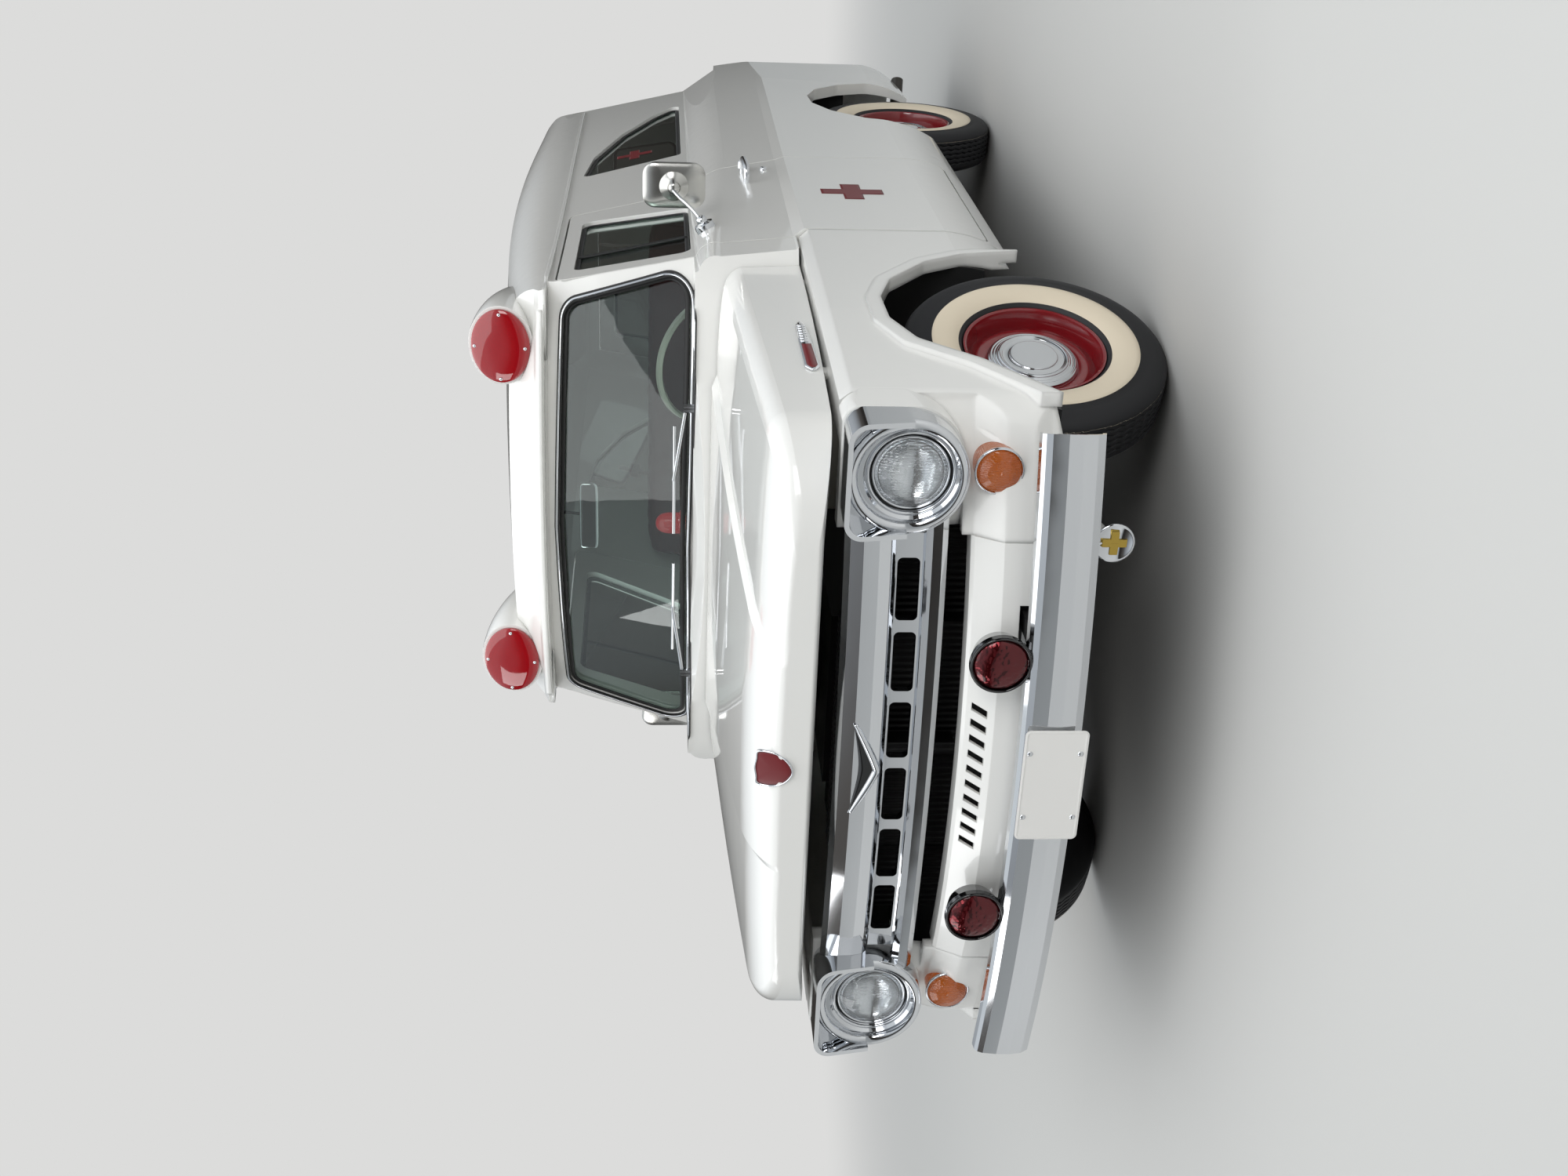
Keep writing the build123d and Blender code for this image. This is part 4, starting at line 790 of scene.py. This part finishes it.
class AMBULANCE_OT_marker_lamps(Operator):
    """Domes of the roof and bumper lamps, their screws and the rims of the turn and tail lamps"""

    bl_idname = "ambulance.marker_lamps"
    bl_label = "Roof, bumper, turn and tail lamps"

    def execute(self, context):
        lean = radians(8.0)
        out = np.array([0.0, -cos(lean), sin(lean)])
        up = np.array([0.0, sin(lean), cos(lean)])
        screw_x, screw_z, screw_depth = 102, 78, 18
        head = [(0, 3.4), (3, 3.2), (5, 2), (5.6, 0), (5.6, -6)]
        dome_seat = np.array([0.0, -2.5, 0.0])
        rims = []
        screws = []
        roof = []
        bumper = []
        for side, _ in SIDES:
            centre = on_side(ROOF_LAMP, side)
            roof.append(lens_dome(centre, out, wide=116, tall=91, edge=9, peak=26))
            for angle in (0, pi / 2, pi, 3 * pi / 2):
                place = (centre + out * screw_depth + np.array([screw_x * cos(angle), 0, 0])
                         + up * screw_z * sin(angle))
                screws.append(turned(head, place, out, 16, x_dir=(1, 0, 0)))
            bell = on_side(BUMPER_LAMP, side)
            bumper.append(lens_dome(bell + dome_seat, FORWARD, wide=65.2, tall=65.2, edge=6, peak=25))
            rims.append(hoop(on_side(TURN_LAMP, side), FORWARD, 55.5, 0, 3.4, 5.0, 0))
            rims.append(hoop(bell, FORWARD, 69, 14, 2.8, 3.2, 1))
            rims.append(hoop(on_side(TAIL_LAMP, side), BACKWARD, 42, -3, 2.0, 2.6, 0))
        make_piece("lamp_rims", rims, ("chrome", "gloss_black"), "root")
        make_piece("roof_lamp_screws", screws, ("chrome",), "root")
        domes = make_piece("roof_lamp_domes", roof, ("red_dome",), "root")
        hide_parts("roof_lamp_lenses")
        domes = make_piece("bumper_lamp_domes", bumper, ("dark_dome",), "root")
        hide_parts("bumper_lamp_lenses")
        return {"FINISHED"}


DOOR_WINDOW = [(860, 1246), (926, 1608), (1625, 1608), (1505, 1246)]
QUARTER_WINDOW = [(2447, 1262), (2372, 1640), (2700, 1606), (3060, 1500), (3330, 1370), (3470, 1262)]
REAR_WINDOW = [(95, 1262), (500, 1262), (455, 1560), (95, 1560)]
WINDSCREEN = [(-790, 1246), (-664, 1632), (0, 1650), (664, 1632), (790, 1246), (0, 1258)]
# Side window: name, outline of (y, z), corner radius, glass node, body; braces stand for the side's word.
SIDE_WINDOWS = (
    ("door", DOOR_WINDOW, 34.0, "door_glass_{}", "door_{}"),
    ("quarter", QUARTER_WINDOW, 26.0, "quarter_glass", "root"),
)
SEAL_INNER = -15.0
SEAL_OUTER = -1.5
SEAL_STEP = 8.0
SEAL_THICK = 0.005


class AMBULANCE_OT_seals(Operator):
    """Black rubber round the windows, the windscreen's bright bead and the vent window's post"""

    bl_idname = "ambulance.seals"
    bl_label = "Window seals"

    def execute(self, context):
        side_plane, rear_plane, front_plane = 900, 4100, 150
        rear_corner, screen_corner = 40, 60
        post_half, post_thick = 7, 0.009
        bead_inner, bead_outer, bead_thick = 4.5, 10.5, 0.0025

        def seal(name, loop, axis, plane, way, glass, body):
            """A rubber band along the inside of a window's outline."""
            laid_sheet(name, ring_flat(loop, SEAL_INNER, SEAL_OUTER), axis, plane, way, glass, body,
                       "rubber", SEAL_THICK)

        for side, word in SIDES:
            for label, outline, radius, glass, body in SIDE_WINDOWS:
                loop = resampled(filleted(outline, radius), SEAL_STEP)
                seal(f"{label}_seal_{word}", loop, "X", side * side_plane, side, glass.format(word),
                     body.format(word))
            post = strip_flat([(1252, 1125), (1600, 1145)], post_half, post_half, 24)
            post = [(flat[..., ::-1], closed) for flat, closed in post]
            laid_sheet(f"vent_post_{word}", post, "X", side * side_plane, side, f"door_glass_{word}",
                       f"door_{word}", "rubber", post_thick)
            loop = resampled(filleted([(side * x, z) for x, z in REAR_WINDOW], rear_corner), SEAL_STEP)
            seal(f"rear_seal_{word}", loop, "Y", rear_plane, 1, f"rear_glass_{word}", f"rear_door_{word}")
        loop = resampled(filleted(WINDSCREEN, screen_corner), SEAL_STEP)
        seal("windscreen_seal", loop, "Y", front_plane, -1, "windscreen_glass", "root")
        laid_sheet("windscreen_bead", ring_flat(loop, bead_inner, bead_outer), "Y", front_plane, -1,
                   "windscreen_trim", "root", "chrome", bead_thick)
        return {"FINISHED"}


class AMBULANCE_OT_side_trim(Operator):
    """Plain crosses, drip rails and the spear with its enamel inlay and ribs on the hood's side"""

    bl_idname = "ambulance.side_trim"
    bl_label = "Side trim"

    def execute(self, context):
        side_plane, front_plane = 990, 250
        film, paint_lift = 0.0005, 0.0006
        spear_thick, on_spear, inlay_thick, rib_thick = 0.006, 0.0062, 0.0016, 0.003
        rail_z, front_rail_z, rail_above = 1686, 1698, 9
        rail_thick, front_rail_thick = 0.009, 0.010
        spear = strip_flat([(-308, 960), (-286, 961), (-80, 966), (30, 971), (54, 973)],
                           (6, 18, 16, 12, 4), (6, 19, 17, 12, 4), 48)
        inlay = strip_flat([(-296, 960), (-282, 961), (-125, 965)], (5, 13, 12), (5, 14, 13), 32)
        rib_wide, rib_z = 10, 968
        ribs = [strip_flat([(y, rib_z), (y + rib_wide, rib_z)], 9, 11, 4)[0] for y in range(-105, 20, 20)]
        # Name, flat grids, the node they lie on, body, finish, slot, thickness and height over the node.
        sheets = (
            ("door_cross", cross_flats((1258, 716), arm=102, width=64), "door_{}", "door_{}", "cross_red",
             "wheel_paint", film, paint_lift),
            ("window_cross", cross_flats((2690, 1445), arm=70, width=40), "quarter_glass", "root",
             "cross_red", "wheel_paint", film, paint_lift),
            ("drip_rail", strip_flat([(725, rail_z), (3700, rail_z)], 3, rail_above, 160), "body_shell",
             "root", "ivory", "body_paint", rail_thick, 0.001),
            ("hood_spear", spear, "hood", "hood", "chrome", "chrome", spear_thick, 0.001),
            ("hood_spear_inlay", inlay, "hood", "hood", "cross_red", "wheel_paint", inlay_thick, on_spear),
            ("hood_spear_ribs", ribs, "hood", "hood", "chrome", "chrome", rib_thick, on_spear),
        )
        for side, word in SIDES:
            for name, flats, target, body, key, slot, thick, lift in sheets:
                laid_sheet(f"{name}_{word}", flats, "X", side * side_plane, side, target.format(word),
                           body.format(word), key, thick, lift)
        front_rail = strip_flat([(-665, front_rail_z), (665, front_rail_z)], 4, rail_above, 120)
        laid_sheet("drip_rail_front", front_rail, "Y", front_plane, -1, "body_shell", "root", "ivory",
                   front_rail_thick)
        return {"FINISHED"}


class AMBULANCE_OT_seat(Operator):
    """Sprung bench with a rolled front and pleats"""

    bl_idname = "ambulance.seat"
    bl_label = "Front bench"

    def execute(self, context):
        side_view = [(1350, 796), (1336, 850), (1333, 905), (1352, 928), (1420, 932), (1560, 924),
                     (1660, 922), (1692, 936), (1712, 1010), (1745, 1180), (1775, 1330), (1800, 1372),
                     (1838, 1382), (1868, 1366), (1876, 1300), (1868, 1100), (1856, 900), (1846, 800),
                     (1600, 795)]
        half_x, pleats, pleat_depth, end_round = 646, 9, 3.5, 0.06
        loop = smooth_path(side_view, 96, closed=True)
        x = np.linspace(-1, 1, 121)
        middle = loop.mean(axis=0)
        shrink = (1 - end_round * np.abs(x) ** 18)[:, None, None]
        pleat = (pleat_depth * (np.abs(np.cos(x * pi * pleats)) ** 0.5 - 1))[:, None, None]
        outward = loop - middle
        length = np.linalg.norm(outward, axis=1)[:, None]
        section = middle + outward[None] * shrink + (outward / length)[None] * pleat
        across = np.broadcast_to((x * half_x)[:, None, None], section.shape[:2] + (1,))
        points = np.concatenate([across, section], axis=-1)
        piece = make_piece("front_bench", [(capped(points), False, True, 0)], ("vinyl",), "root")
        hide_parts("front_seat")
        return {"FINISHED"}


class AMBULANCE_OT_cab(Operator):
    """Inside mirror and warning lamp on the dash"""

    bl_idname = "ambulance.cab"
    bl_label = "Cab fittings"

    def execute(self, context):
        glass = super_box((112, 9, 30), 48) + np.array([0, 690, 1560])
        stem = smooth_path([(0, 700, 1575), (0, 712, 1620), (0, 720, 1690)], 12)
        make_piece("inside_mirror", [(glass, True, False, 0), rod(stem, 5, 10, 1, up=(0, 1, 0))],
                   ("chrome", "black"), "root")
        dome = [(0, 80), (14, 77), (26, 66), (32, 49), (34, 27), (34, 5), (38, 4), (41, 0)]
        base = [(41, 0), (42, -7), (41, -12), (18, -16), (14, -20), (14, -76), (0, -76)]
        place = (0, 640, 1269)
        make_piece("dash_warning_lamp", [turned(smooth_path(dome, 32), place, UP, 48, x_dir=(1, 0, 0)),
                                         turned(base, place, UP, 48, 1, x_dir=(1, 0, 0))],
                   ("red_lens", "chrome"), "root")
        return {"FINISHED"}


def mirror_shell(middle):
    """A drawn mirror shell: the outline scaled by sin t, its depth -4 - 12*(1 - sin^3 t)^0.6, and the glass.

    The flat glass lies between the last two steps."""
    outline = resampled(box_outline(72, 99, 40), 8.0)
    s = np.sin(np.linspace(0, pi / 2, 12))
    scale = np.concatenate([s, [1.0, 0.965, 0.95, 0.0]])[:, None]
    depth = np.concatenate([-4 - 12 * (1 - s ** 3) ** 0.6, [2.0, 3.4, 1.6, 1.6]])[:, None]
    marks = np.full((len(scale) - 1, len(outline)), 2)
    marks[-1] = 1
    x, z = outline[None, :, 0], outline[None, :, 1]
    shell = np.stack([middle[0] + scale * x, middle[1] + depth + 0 * x, middle[2] + scale * z], axis=-1)
    return shell, False, True, marks


class AMBULANCE_OT_door_fittings(Operator):
    """Mirror with its stalk and base, push button handle and key lock on each side door"""

    bl_idname = "ambulance.door_fittings"
    bl_label = "Mirrors and handles"

    def execute(self, context):
        boss = [(0, 34), (12, 33), (17, 29), (19, 22), (24, 14), (40, 8), (46, 4), (47, 0), (0, -2)]
        knob = [(0, 27), (9, 26), (15, 21), (17, 13), (16, 7), (22, 4), (30, 1), (31, -3), (31, -30),
                (0, -30)]
        stalk = [(872, 1000, 1212), (902, 1018, 1240), (934, 1044, 1280), (952, 1070, 1302),
                 (958, 1084, 1306)]
        pull = [(872, 1492, 1050), (900, 1490, 1050), (922, 1500, 1051), (928, 1530, 1053),
                (929, 1590, 1056), (924, 1632, 1058), (900, 1644, 1058), (872, 1646, 1058)]
        button = [(0, 33), (7, 32.5), (9.5, 30), (10, 26), (13, 24), (15, 20), (16, 0), (0, 0)]
        lock = [(0, 7), (5, 6.6), (9, 5.5), (11, 3), (12, 0), (12, -12), (0, -12)]
        pull_steps = 64
        girth = 9.0 + 2.4 * np.sin(np.linspace(0, pi, pull_steps)) ** 2
        for side, word in SIDES:
            middle = on_side((957.0, 1110.0, 1298.0), side)
            outward = (side, 0, 0)
            grids = [
                mirror_shell(middle),
                turned(boss, middle + np.array([0, -14, 0]), FORWARD, 48, 2),
                turned(knob, on_side((868, 985, 1206), side), (side * 0.88, 0, 0.47), 40),
                rod(smooth_path([on_side(p, side) for p in stalk], 28), 5.5, 14),
                rod(smooth_path([on_side(p, side) for p in pull], pull_steps), girth, 20),
                turned(button, on_side((886, 1672, 1058), side), outward, 32),
                turned(lock, on_side((892, 1640, 986), side), outward, 32),
            ]
            piece = make_piece(f"door_fittings_visual_{word}", grids, ("chrome", "mirror", "stainless"),
                               f"door_{word}", sharp=40)
            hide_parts(f"door_fittings_{word}")
        return {"FINISHED"}


def shield_grids():
    """The shield's bright rim and the enamel field in it, leaning back with the hood."""
    crest = smooth_path([(0, 0), (26, 12), (45, 36), (51, 66), (47, 92), (26, 95), (0, 99), (-26, 95),
                         (-47, 92), (-51, 66), (-45, 36), (-26, 12)], 96, closed=True)
    middle = np.array([0.0, 52.0])
    foot = np.array([0.0, -813.0, 1010.0])
    lean = radians(17.0)
    rise = np.array([0.0, sin(lean), cos(lean)])
    ahead = np.array([0.0, -cos(lean), sin(lean)])

    def plate(steps):
        """The crest at each (scale, depth) step: p = foot + x*X + z*rise + depth*ahead."""
        rows = []
        for scale, depth in steps:
            flat = middle + (crest - middle) * scale
            rows.append(foot + flat[:, :1] * np.array([1.0, 0, 0]) + flat[:, 1:] * rise + depth * ahead)
        return np.stack(rows)

    rim = plate([(0.0, -7), (0.96, -7), (1.0, -4), (1.0, 1), (0.975, 4), (0.94, 4), (0.9, 1.5), (0.9, -2)])
    field = plate([(0.0, 4.5), (0.3, 4.2), (0.6, 3.4), (0.8, 2.2), (0.9, 1.0), (0.9, -2)])
    return [(rim, False, True, 0), (field, False, True, 1)]


def chevron_grids():
    """A folded V along the grille's bow and the dark field between its arms.

    The spine is (x, foot + bow - sqrt(bow^2 - x^2), low + rise*|t|^1.15). A fold of five points, whose width
    and depth fall off towards the tips, is carried along it."""
    half_x, foot, low, rise, bow = 127, -799, 806, 58, 3432.0
    half_wide, taper, fold_middle, fold_fall = 11.0, 0.45, 15.0, 9.0
    field_fall, field_tip, field_ahead, field_thick = 40, 4, 3.0, 6.0
    t = np.linspace(-1, 1, 61)
    x = half_x * t
    spine = np.stack([x, foot + bow - np.sqrt(bow ** 2 - x ** 2), low + rise * np.abs(t) ** 1.15], axis=1)
    width = half_wide * (1 - taper * np.abs(t) ** 3)
    fold = fold_middle - fold_fall * np.abs(t)
    back_depth, seat = 3.0, 2.0
    rows = []
    for across, deep in ((-1.0, back_depth), (-0.92, -0.1), (0.0, -1.0), (0.92, -0.1), (1.0, back_depth)):
        y = np.where(deep > 1, back_depth, deep * fold - seat)
        rows.append(spine + np.stack([0 * x, y, across * width], axis=1))
    v = np.linspace(0, 1, 5)[None, :, None]
    top = spine + np.stack([0 * x, 0 * x, field_fall * (1 - np.abs(t)) + field_tip], axis=1)
    field = spine[:, None] * (1 - v) + top[:, None] * v + np.array([0, -field_ahead, 0])
    back = field[:, ::-1] + np.array([0, field_thick, 0])
    field = np.concatenate([field, back], axis=1)
    return [(capped(np.stack(rows, axis=1)), False, True, 0), (capped(field), False, True, 1)]


class AMBULANCE_OT_nose_trim(Operator):
    """Blank shield on the hood and a plain folded chevron on the grille"""

    bl_idname = "ambulance.nose_trim"
    bl_label = "Shield and chevron"

    def execute(self, context):
        make_piece("hood_shield", shield_grids(), ("chrome", "cross_red"), "hood")
        make_piece("grille_chevron", chevron_grids(), ("chrome", "gloss_black"), "root")
        return {"FINISHED"}


class AMBULANCE_OT_small_trim(Operator):
    """Medallion with a plain cross, hung under the bumper"""

    bl_idname = "ambulance.small_trim"
    bl_label = "Medallion"

    def execute(self, context):
        centre = np.array([637.0, -842.0, 305.0])
        disc = [(0, 3), (40, 3), (42, 5), (47, 5), (47, -3), (0, -3)]
        hanger = centre + np.array([(0, 0, 45), (0, -8, 37), (0, 0, 25), (0, 0, -5)])
        parts = [turned(disc, centre, FORWARD, 64), rod(hanger, 3.0, 8, up=(1, 0, 0))]
        long_arm, short_arm, half_thick, ahead = 29, 9.5, 1.6, 4.2
        for half_x, half_z in ((long_arm, short_arm), (short_arm, long_arm)):
            block = super_box((half_x, half_thick, half_z), 24, 0.12) + centre + np.array([0, -ahead, 0])
            parts.append((block, True, False, 1))
        make_piece("medallion", parts, ("chrome", "brass"), "root")
        return {"FINISHED"}


class AMBULANCE_OT_plate(Operator):
    """Blank number plate with a pressed border, four bolts and the two round posts behind it"""

    bl_idname = "ambulance.plate"
    bl_label = "Number plate"

    def execute(self, context):
        outline = box_outline(152.5, 76.0, 14.0)
        centre = np.array([45.0, -942.4, 406.0])
        # Way in from the edge, height above the back, and share of the outline kept.
        steps = ((0, 0, 0), (0, 0, 1), (0, 1.2, 1), (2.5, 1.3, 1), (4, 2.3, 1), (5.5, 2.3, 1), (7, 1.3, 1),
                 (10, 1.2, 1), (10, 1.2, 0))
        rows = []
        for inset, height, share in steps:
            flat = offset_outline(outline, -inset) * share
            rows.append(centre + np.stack([flat[:, 0], np.full(len(flat), -float(height)), flat[:, 1]],
                                          axis=1))
        parts = [(np.stack(rows), False, True, 0)]
        bolt_x, bolt_z, post_x, post_z = 89.0, 60.5, 60.0, -6.0
        head = [(0, 3.8), (4, 3.5), (6.5, 2.4), (7.2, 1.0), (3.2, 1.0), (3.2, -1.0), (0, -1.0)]
        post = [(0, 0.2), (12, 0.2), (12, -2.8), (0, -2.8)]
        for x in (-1, 1):
            for z in (-1, 1):
                place = centre + np.array([bolt_x * x, 0, bolt_z * z])
                parts.append(turned(head, place, FORWARD, 24, 1))
            parts.append(turned(post, centre + np.array([post_x * x, 0, post_z]), FORWARD, 24, 1))
        piece = make_piece("number_plate_pressed", parts, ("plate", "chrome"), "root",
                           sharp=40)
        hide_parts("number_plate")
        return {"FINISHED"}


class AMBULANCE_OT_load_sill(Operator):
    """Panel that closes the load floor's rear edge and the ribbed strip that laps over it"""

    bl_idname = "ambulance.load_sill"
    bl_label = "Load sill"

    def execute(self, context):
        half_x = 735.0
        x = np.linspace(-half_x, half_x, 25)[:, None]

        def drawn(section, mark):
            """A closed (y, z) section carried along X: p = (x, y, z)."""
            flat = np.asarray(section, dtype=float)[None]
            grid = np.stack([x + 0 * flat[..., 0], flat[..., 0] + 0 * x, flat[..., 1] + 0 * x], axis=-1)
            return capped(grid), False, True, mark

        panel = [(3853, 294), (3856, 294), (3856, 342), (3852, 356), (3852, 560), (3849, 570), (3849, 556),
                 (3849, 357), (3853, 341)]
        front, back, low, top, rib, waves = 3792.0, 3850.0, 580.2, 581.2, 1.3, 6
        y = np.linspace(front, back, 91)
        ridge = top + rib * np.abs(np.cos((y - front) / (back - front) * waves * pi))
        nose = [(3855, 578), (3856, 572), (3856, 556), (3853, 556), (3853, 571), (3848, 578)]
        strip = np.concatenate([[(front, low)], np.stack([y, ridge], axis=1), nose])
        make_piece("load_sill_panel", [drawn(panel, 0), drawn(strip, 1)], ("ivory", "stainless"), "root",
                   sharp=35)
        return {"FINISHED"}


def photo_camera(scene, lens):
    """The photograph's camera, turned a quarter, so that the picture's long side runs upright."""
    place = Vector(row([2286.8, -4362.3, 1341.2]).tolist())
    yaw, pitch, roll = radians(-26.7), radians(-4.16), radians(0.33)
    ahead = Vector((sin(yaw) * cos(pitch), cos(yaw) * cos(pitch), sin(pitch)))
    right = ahead.cross(Vector(UP)).normalized()
    up = right.cross(ahead)
    level_right = cos(roll) * right + sin(roll) * up
    level_up = -sin(roll) * right + cos(roll) * up
    turn = Matrix((-level_up, level_right, -ahead)).transposed()
    data = bpy.data.cameras.new("photo_camera")
    data.lens = lens
    data.sensor_width = 36.0
    camera = bpy.data.objects.new("photo_camera", data)
    camera.matrix_world = Matrix.Translation(place) @ turn.to_4x4()
    scene.collection.objects.link(camera)
    scene.camera = camera


def area_light(scene, name, where, target, wide, tall, power):
    """A large soft light at a place, facing a target."""
    lamp = bpy.data.lights.new(name, "AREA")
    lamp.shape = "RECTANGLE"
    lamp.size = wide
    lamp.size_y = tall
    lamp.energy = power
    obj = bpy.data.objects.new(name, lamp)
    way = (Vector(target) - Vector(where)).to_track_quat("-Z", "Y")
    obj.matrix_world = Matrix.Translation(where) @ way.to_matrix().to_4x4()
    scene.collection.objects.link(obj)


def studio_world(scene):
    """A room that is dark at the horizon and bright above, behind a plain pale backdrop for the camera."""
    world = bpy.data.worlds.new("studio")
    scene.world = world
    world.use_nodes = True
    tree = world.node_tree
    tree.nodes.clear()
    coords = node(tree, "ShaderNodeTexCoord")
    split = node(tree, "ShaderNodeSeparateXYZ", [("Vector", coords.outputs["Generated"])])
    ramp = node(tree, "ShaderNodeValToRGB", [("Fac", split.outputs["Z"])])
    stops = ramp.color_ramp.elements
    stops[0].position = 0.0
    stops[0].color = linear("3A3836")
    stops[1].position = 1.0
    stops[1].color = linear("E8EEF2")
    for where, colour in ((0.06, "2E2B29"), (0.2, "5B5855"), (0.34, "A6ABB0"), (0.5, "DDE3E8")):
        stops.new(where).color = linear(colour)
    path = node(tree, "ShaderNodeLightPath")
    back = node(tree, "ShaderNodeBackground", [("Color", ramp.outputs["Color"])], Strength=0.95)
    pale = node(tree, "ShaderNodeBackground", Color=linear(BACKDROP), Strength=1.0)
    mixed(tree, path.outputs["Is Camera Ray"], back, pale, node(tree, "ShaderNodeOutputWorld"))


class AMBULANCE_OT_stage(Operator):
    """Floor, light and the camera of the photograph"""

    bl_idname = "ambulance.stage"
    bl_label = "Stage and camera"

    def execute(self, context):
        s = context.scene.ambulance_stage
        scene = context.scene
        photo_camera(scene, s.lens)

        size = 60.0
        u, v = np.meshgrid(np.linspace(-size, size, 3), np.linspace(-size, size, 3), indexing="ij")
        mesh = bpy.data.meshes.new("floor")
        mesh.from_pydata(np.stack([u, v, 0 * u], axis=-1).reshape(-1, 3).tolist(), [],
                         [(0, 3, 4, 1), (1, 4, 5, 2), (3, 6, 7, 4), (4, 7, 8, 5)])
        floor = bpy.data.objects.new("floor", mesh)
        scene.collection.objects.link(floor)
        mesh.materials.append(stage_floor())

        area_light(scene, "overhead", (0.5, -1.0, 5.6), (0, 0, 0), 7.0, 9.0, s.key_power)
        area_light(scene, "front_left", (5.5, -6.0, 3.0), (0, -1.0, 0.8), 3.5, 2.5, s.fill_power)
        area_light(scene, "front_right", (-5.5, -5.0, 3.4), (0, -1.0, 0.8), 3.0, 3.0, s.fill_power * 0.6)
        studio_world(scene)
        scene.view_settings.view_transform = "Standard"
        return {"FINISHED"}


# Add-on

SETTINGS = {
    "ambulance_look": AmbulanceLook,
    "ambulance_tyre": AmbulanceTyre,
    "ambulance_wheel": AmbulanceWheel,
    "ambulance_stage": AmbulanceStage,
}
# In the order in which they run: the finishes come first, the stage last.
OPERATORS = (
    AMBULANCE_OT_paint_frame, AMBULANCE_OT_tyres, AMBULANCE_OT_wheels, AMBULANCE_OT_headlamps,
    AMBULANCE_OT_marker_lamps, AMBULANCE_OT_seals, AMBULANCE_OT_side_trim, AMBULANCE_OT_seat,
    AMBULANCE_OT_cab, AMBULANCE_OT_door_fittings, AMBULANCE_OT_nose_trim, AMBULANCE_OT_small_trim,
    AMBULANCE_OT_plate, AMBULANCE_OT_load_sill, AMBULANCE_OT_stage,
)


class AMBULANCE_PT_panel(Panel):
    """Lists the settings and the pieces in the sidebar"""

    bl_idname = "AMBULANCE_PT_panel"
    bl_label = "Ambulance"
    bl_space_type = "VIEW_3D"
    bl_region_type = "UI"
    bl_category = "Ambulance"

    def draw(self, context):
        layout = self.layout
        for name in SETTINGS:
            settings = getattr(context.scene, name)
            column = layout.column()
            for key in settings.__annotations__:
                column.prop(settings, key)
        for item in OPERATORS:
            layout.operator(item.bl_idname)


CLASSES = (*SETTINGS.values(), *OPERATORS, AMBULANCE_PT_panel)


def register():
    """Registers the classes and hangs the settings on the scene."""
    for item in CLASSES:
        bpy.utils.register_class(item)
    for name, group in SETTINGS.items():
        setattr(bpy.types.Scene, name, PointerProperty(type=group))


def unregister():
    """Takes the settings and classes away again."""
    for name in SETTINGS:
        delattr(bpy.types.Scene, name)
    for item in reversed(CLASSES):
        bpy.utils.unregister_class(item)


def main():
    """Builds every piece in order."""
    register()
    for item in OPERATORS:
        getattr(bpy.ops.ambulance, item.bl_idname.split(".")[1])()


if __name__ == "__main__":
    main()
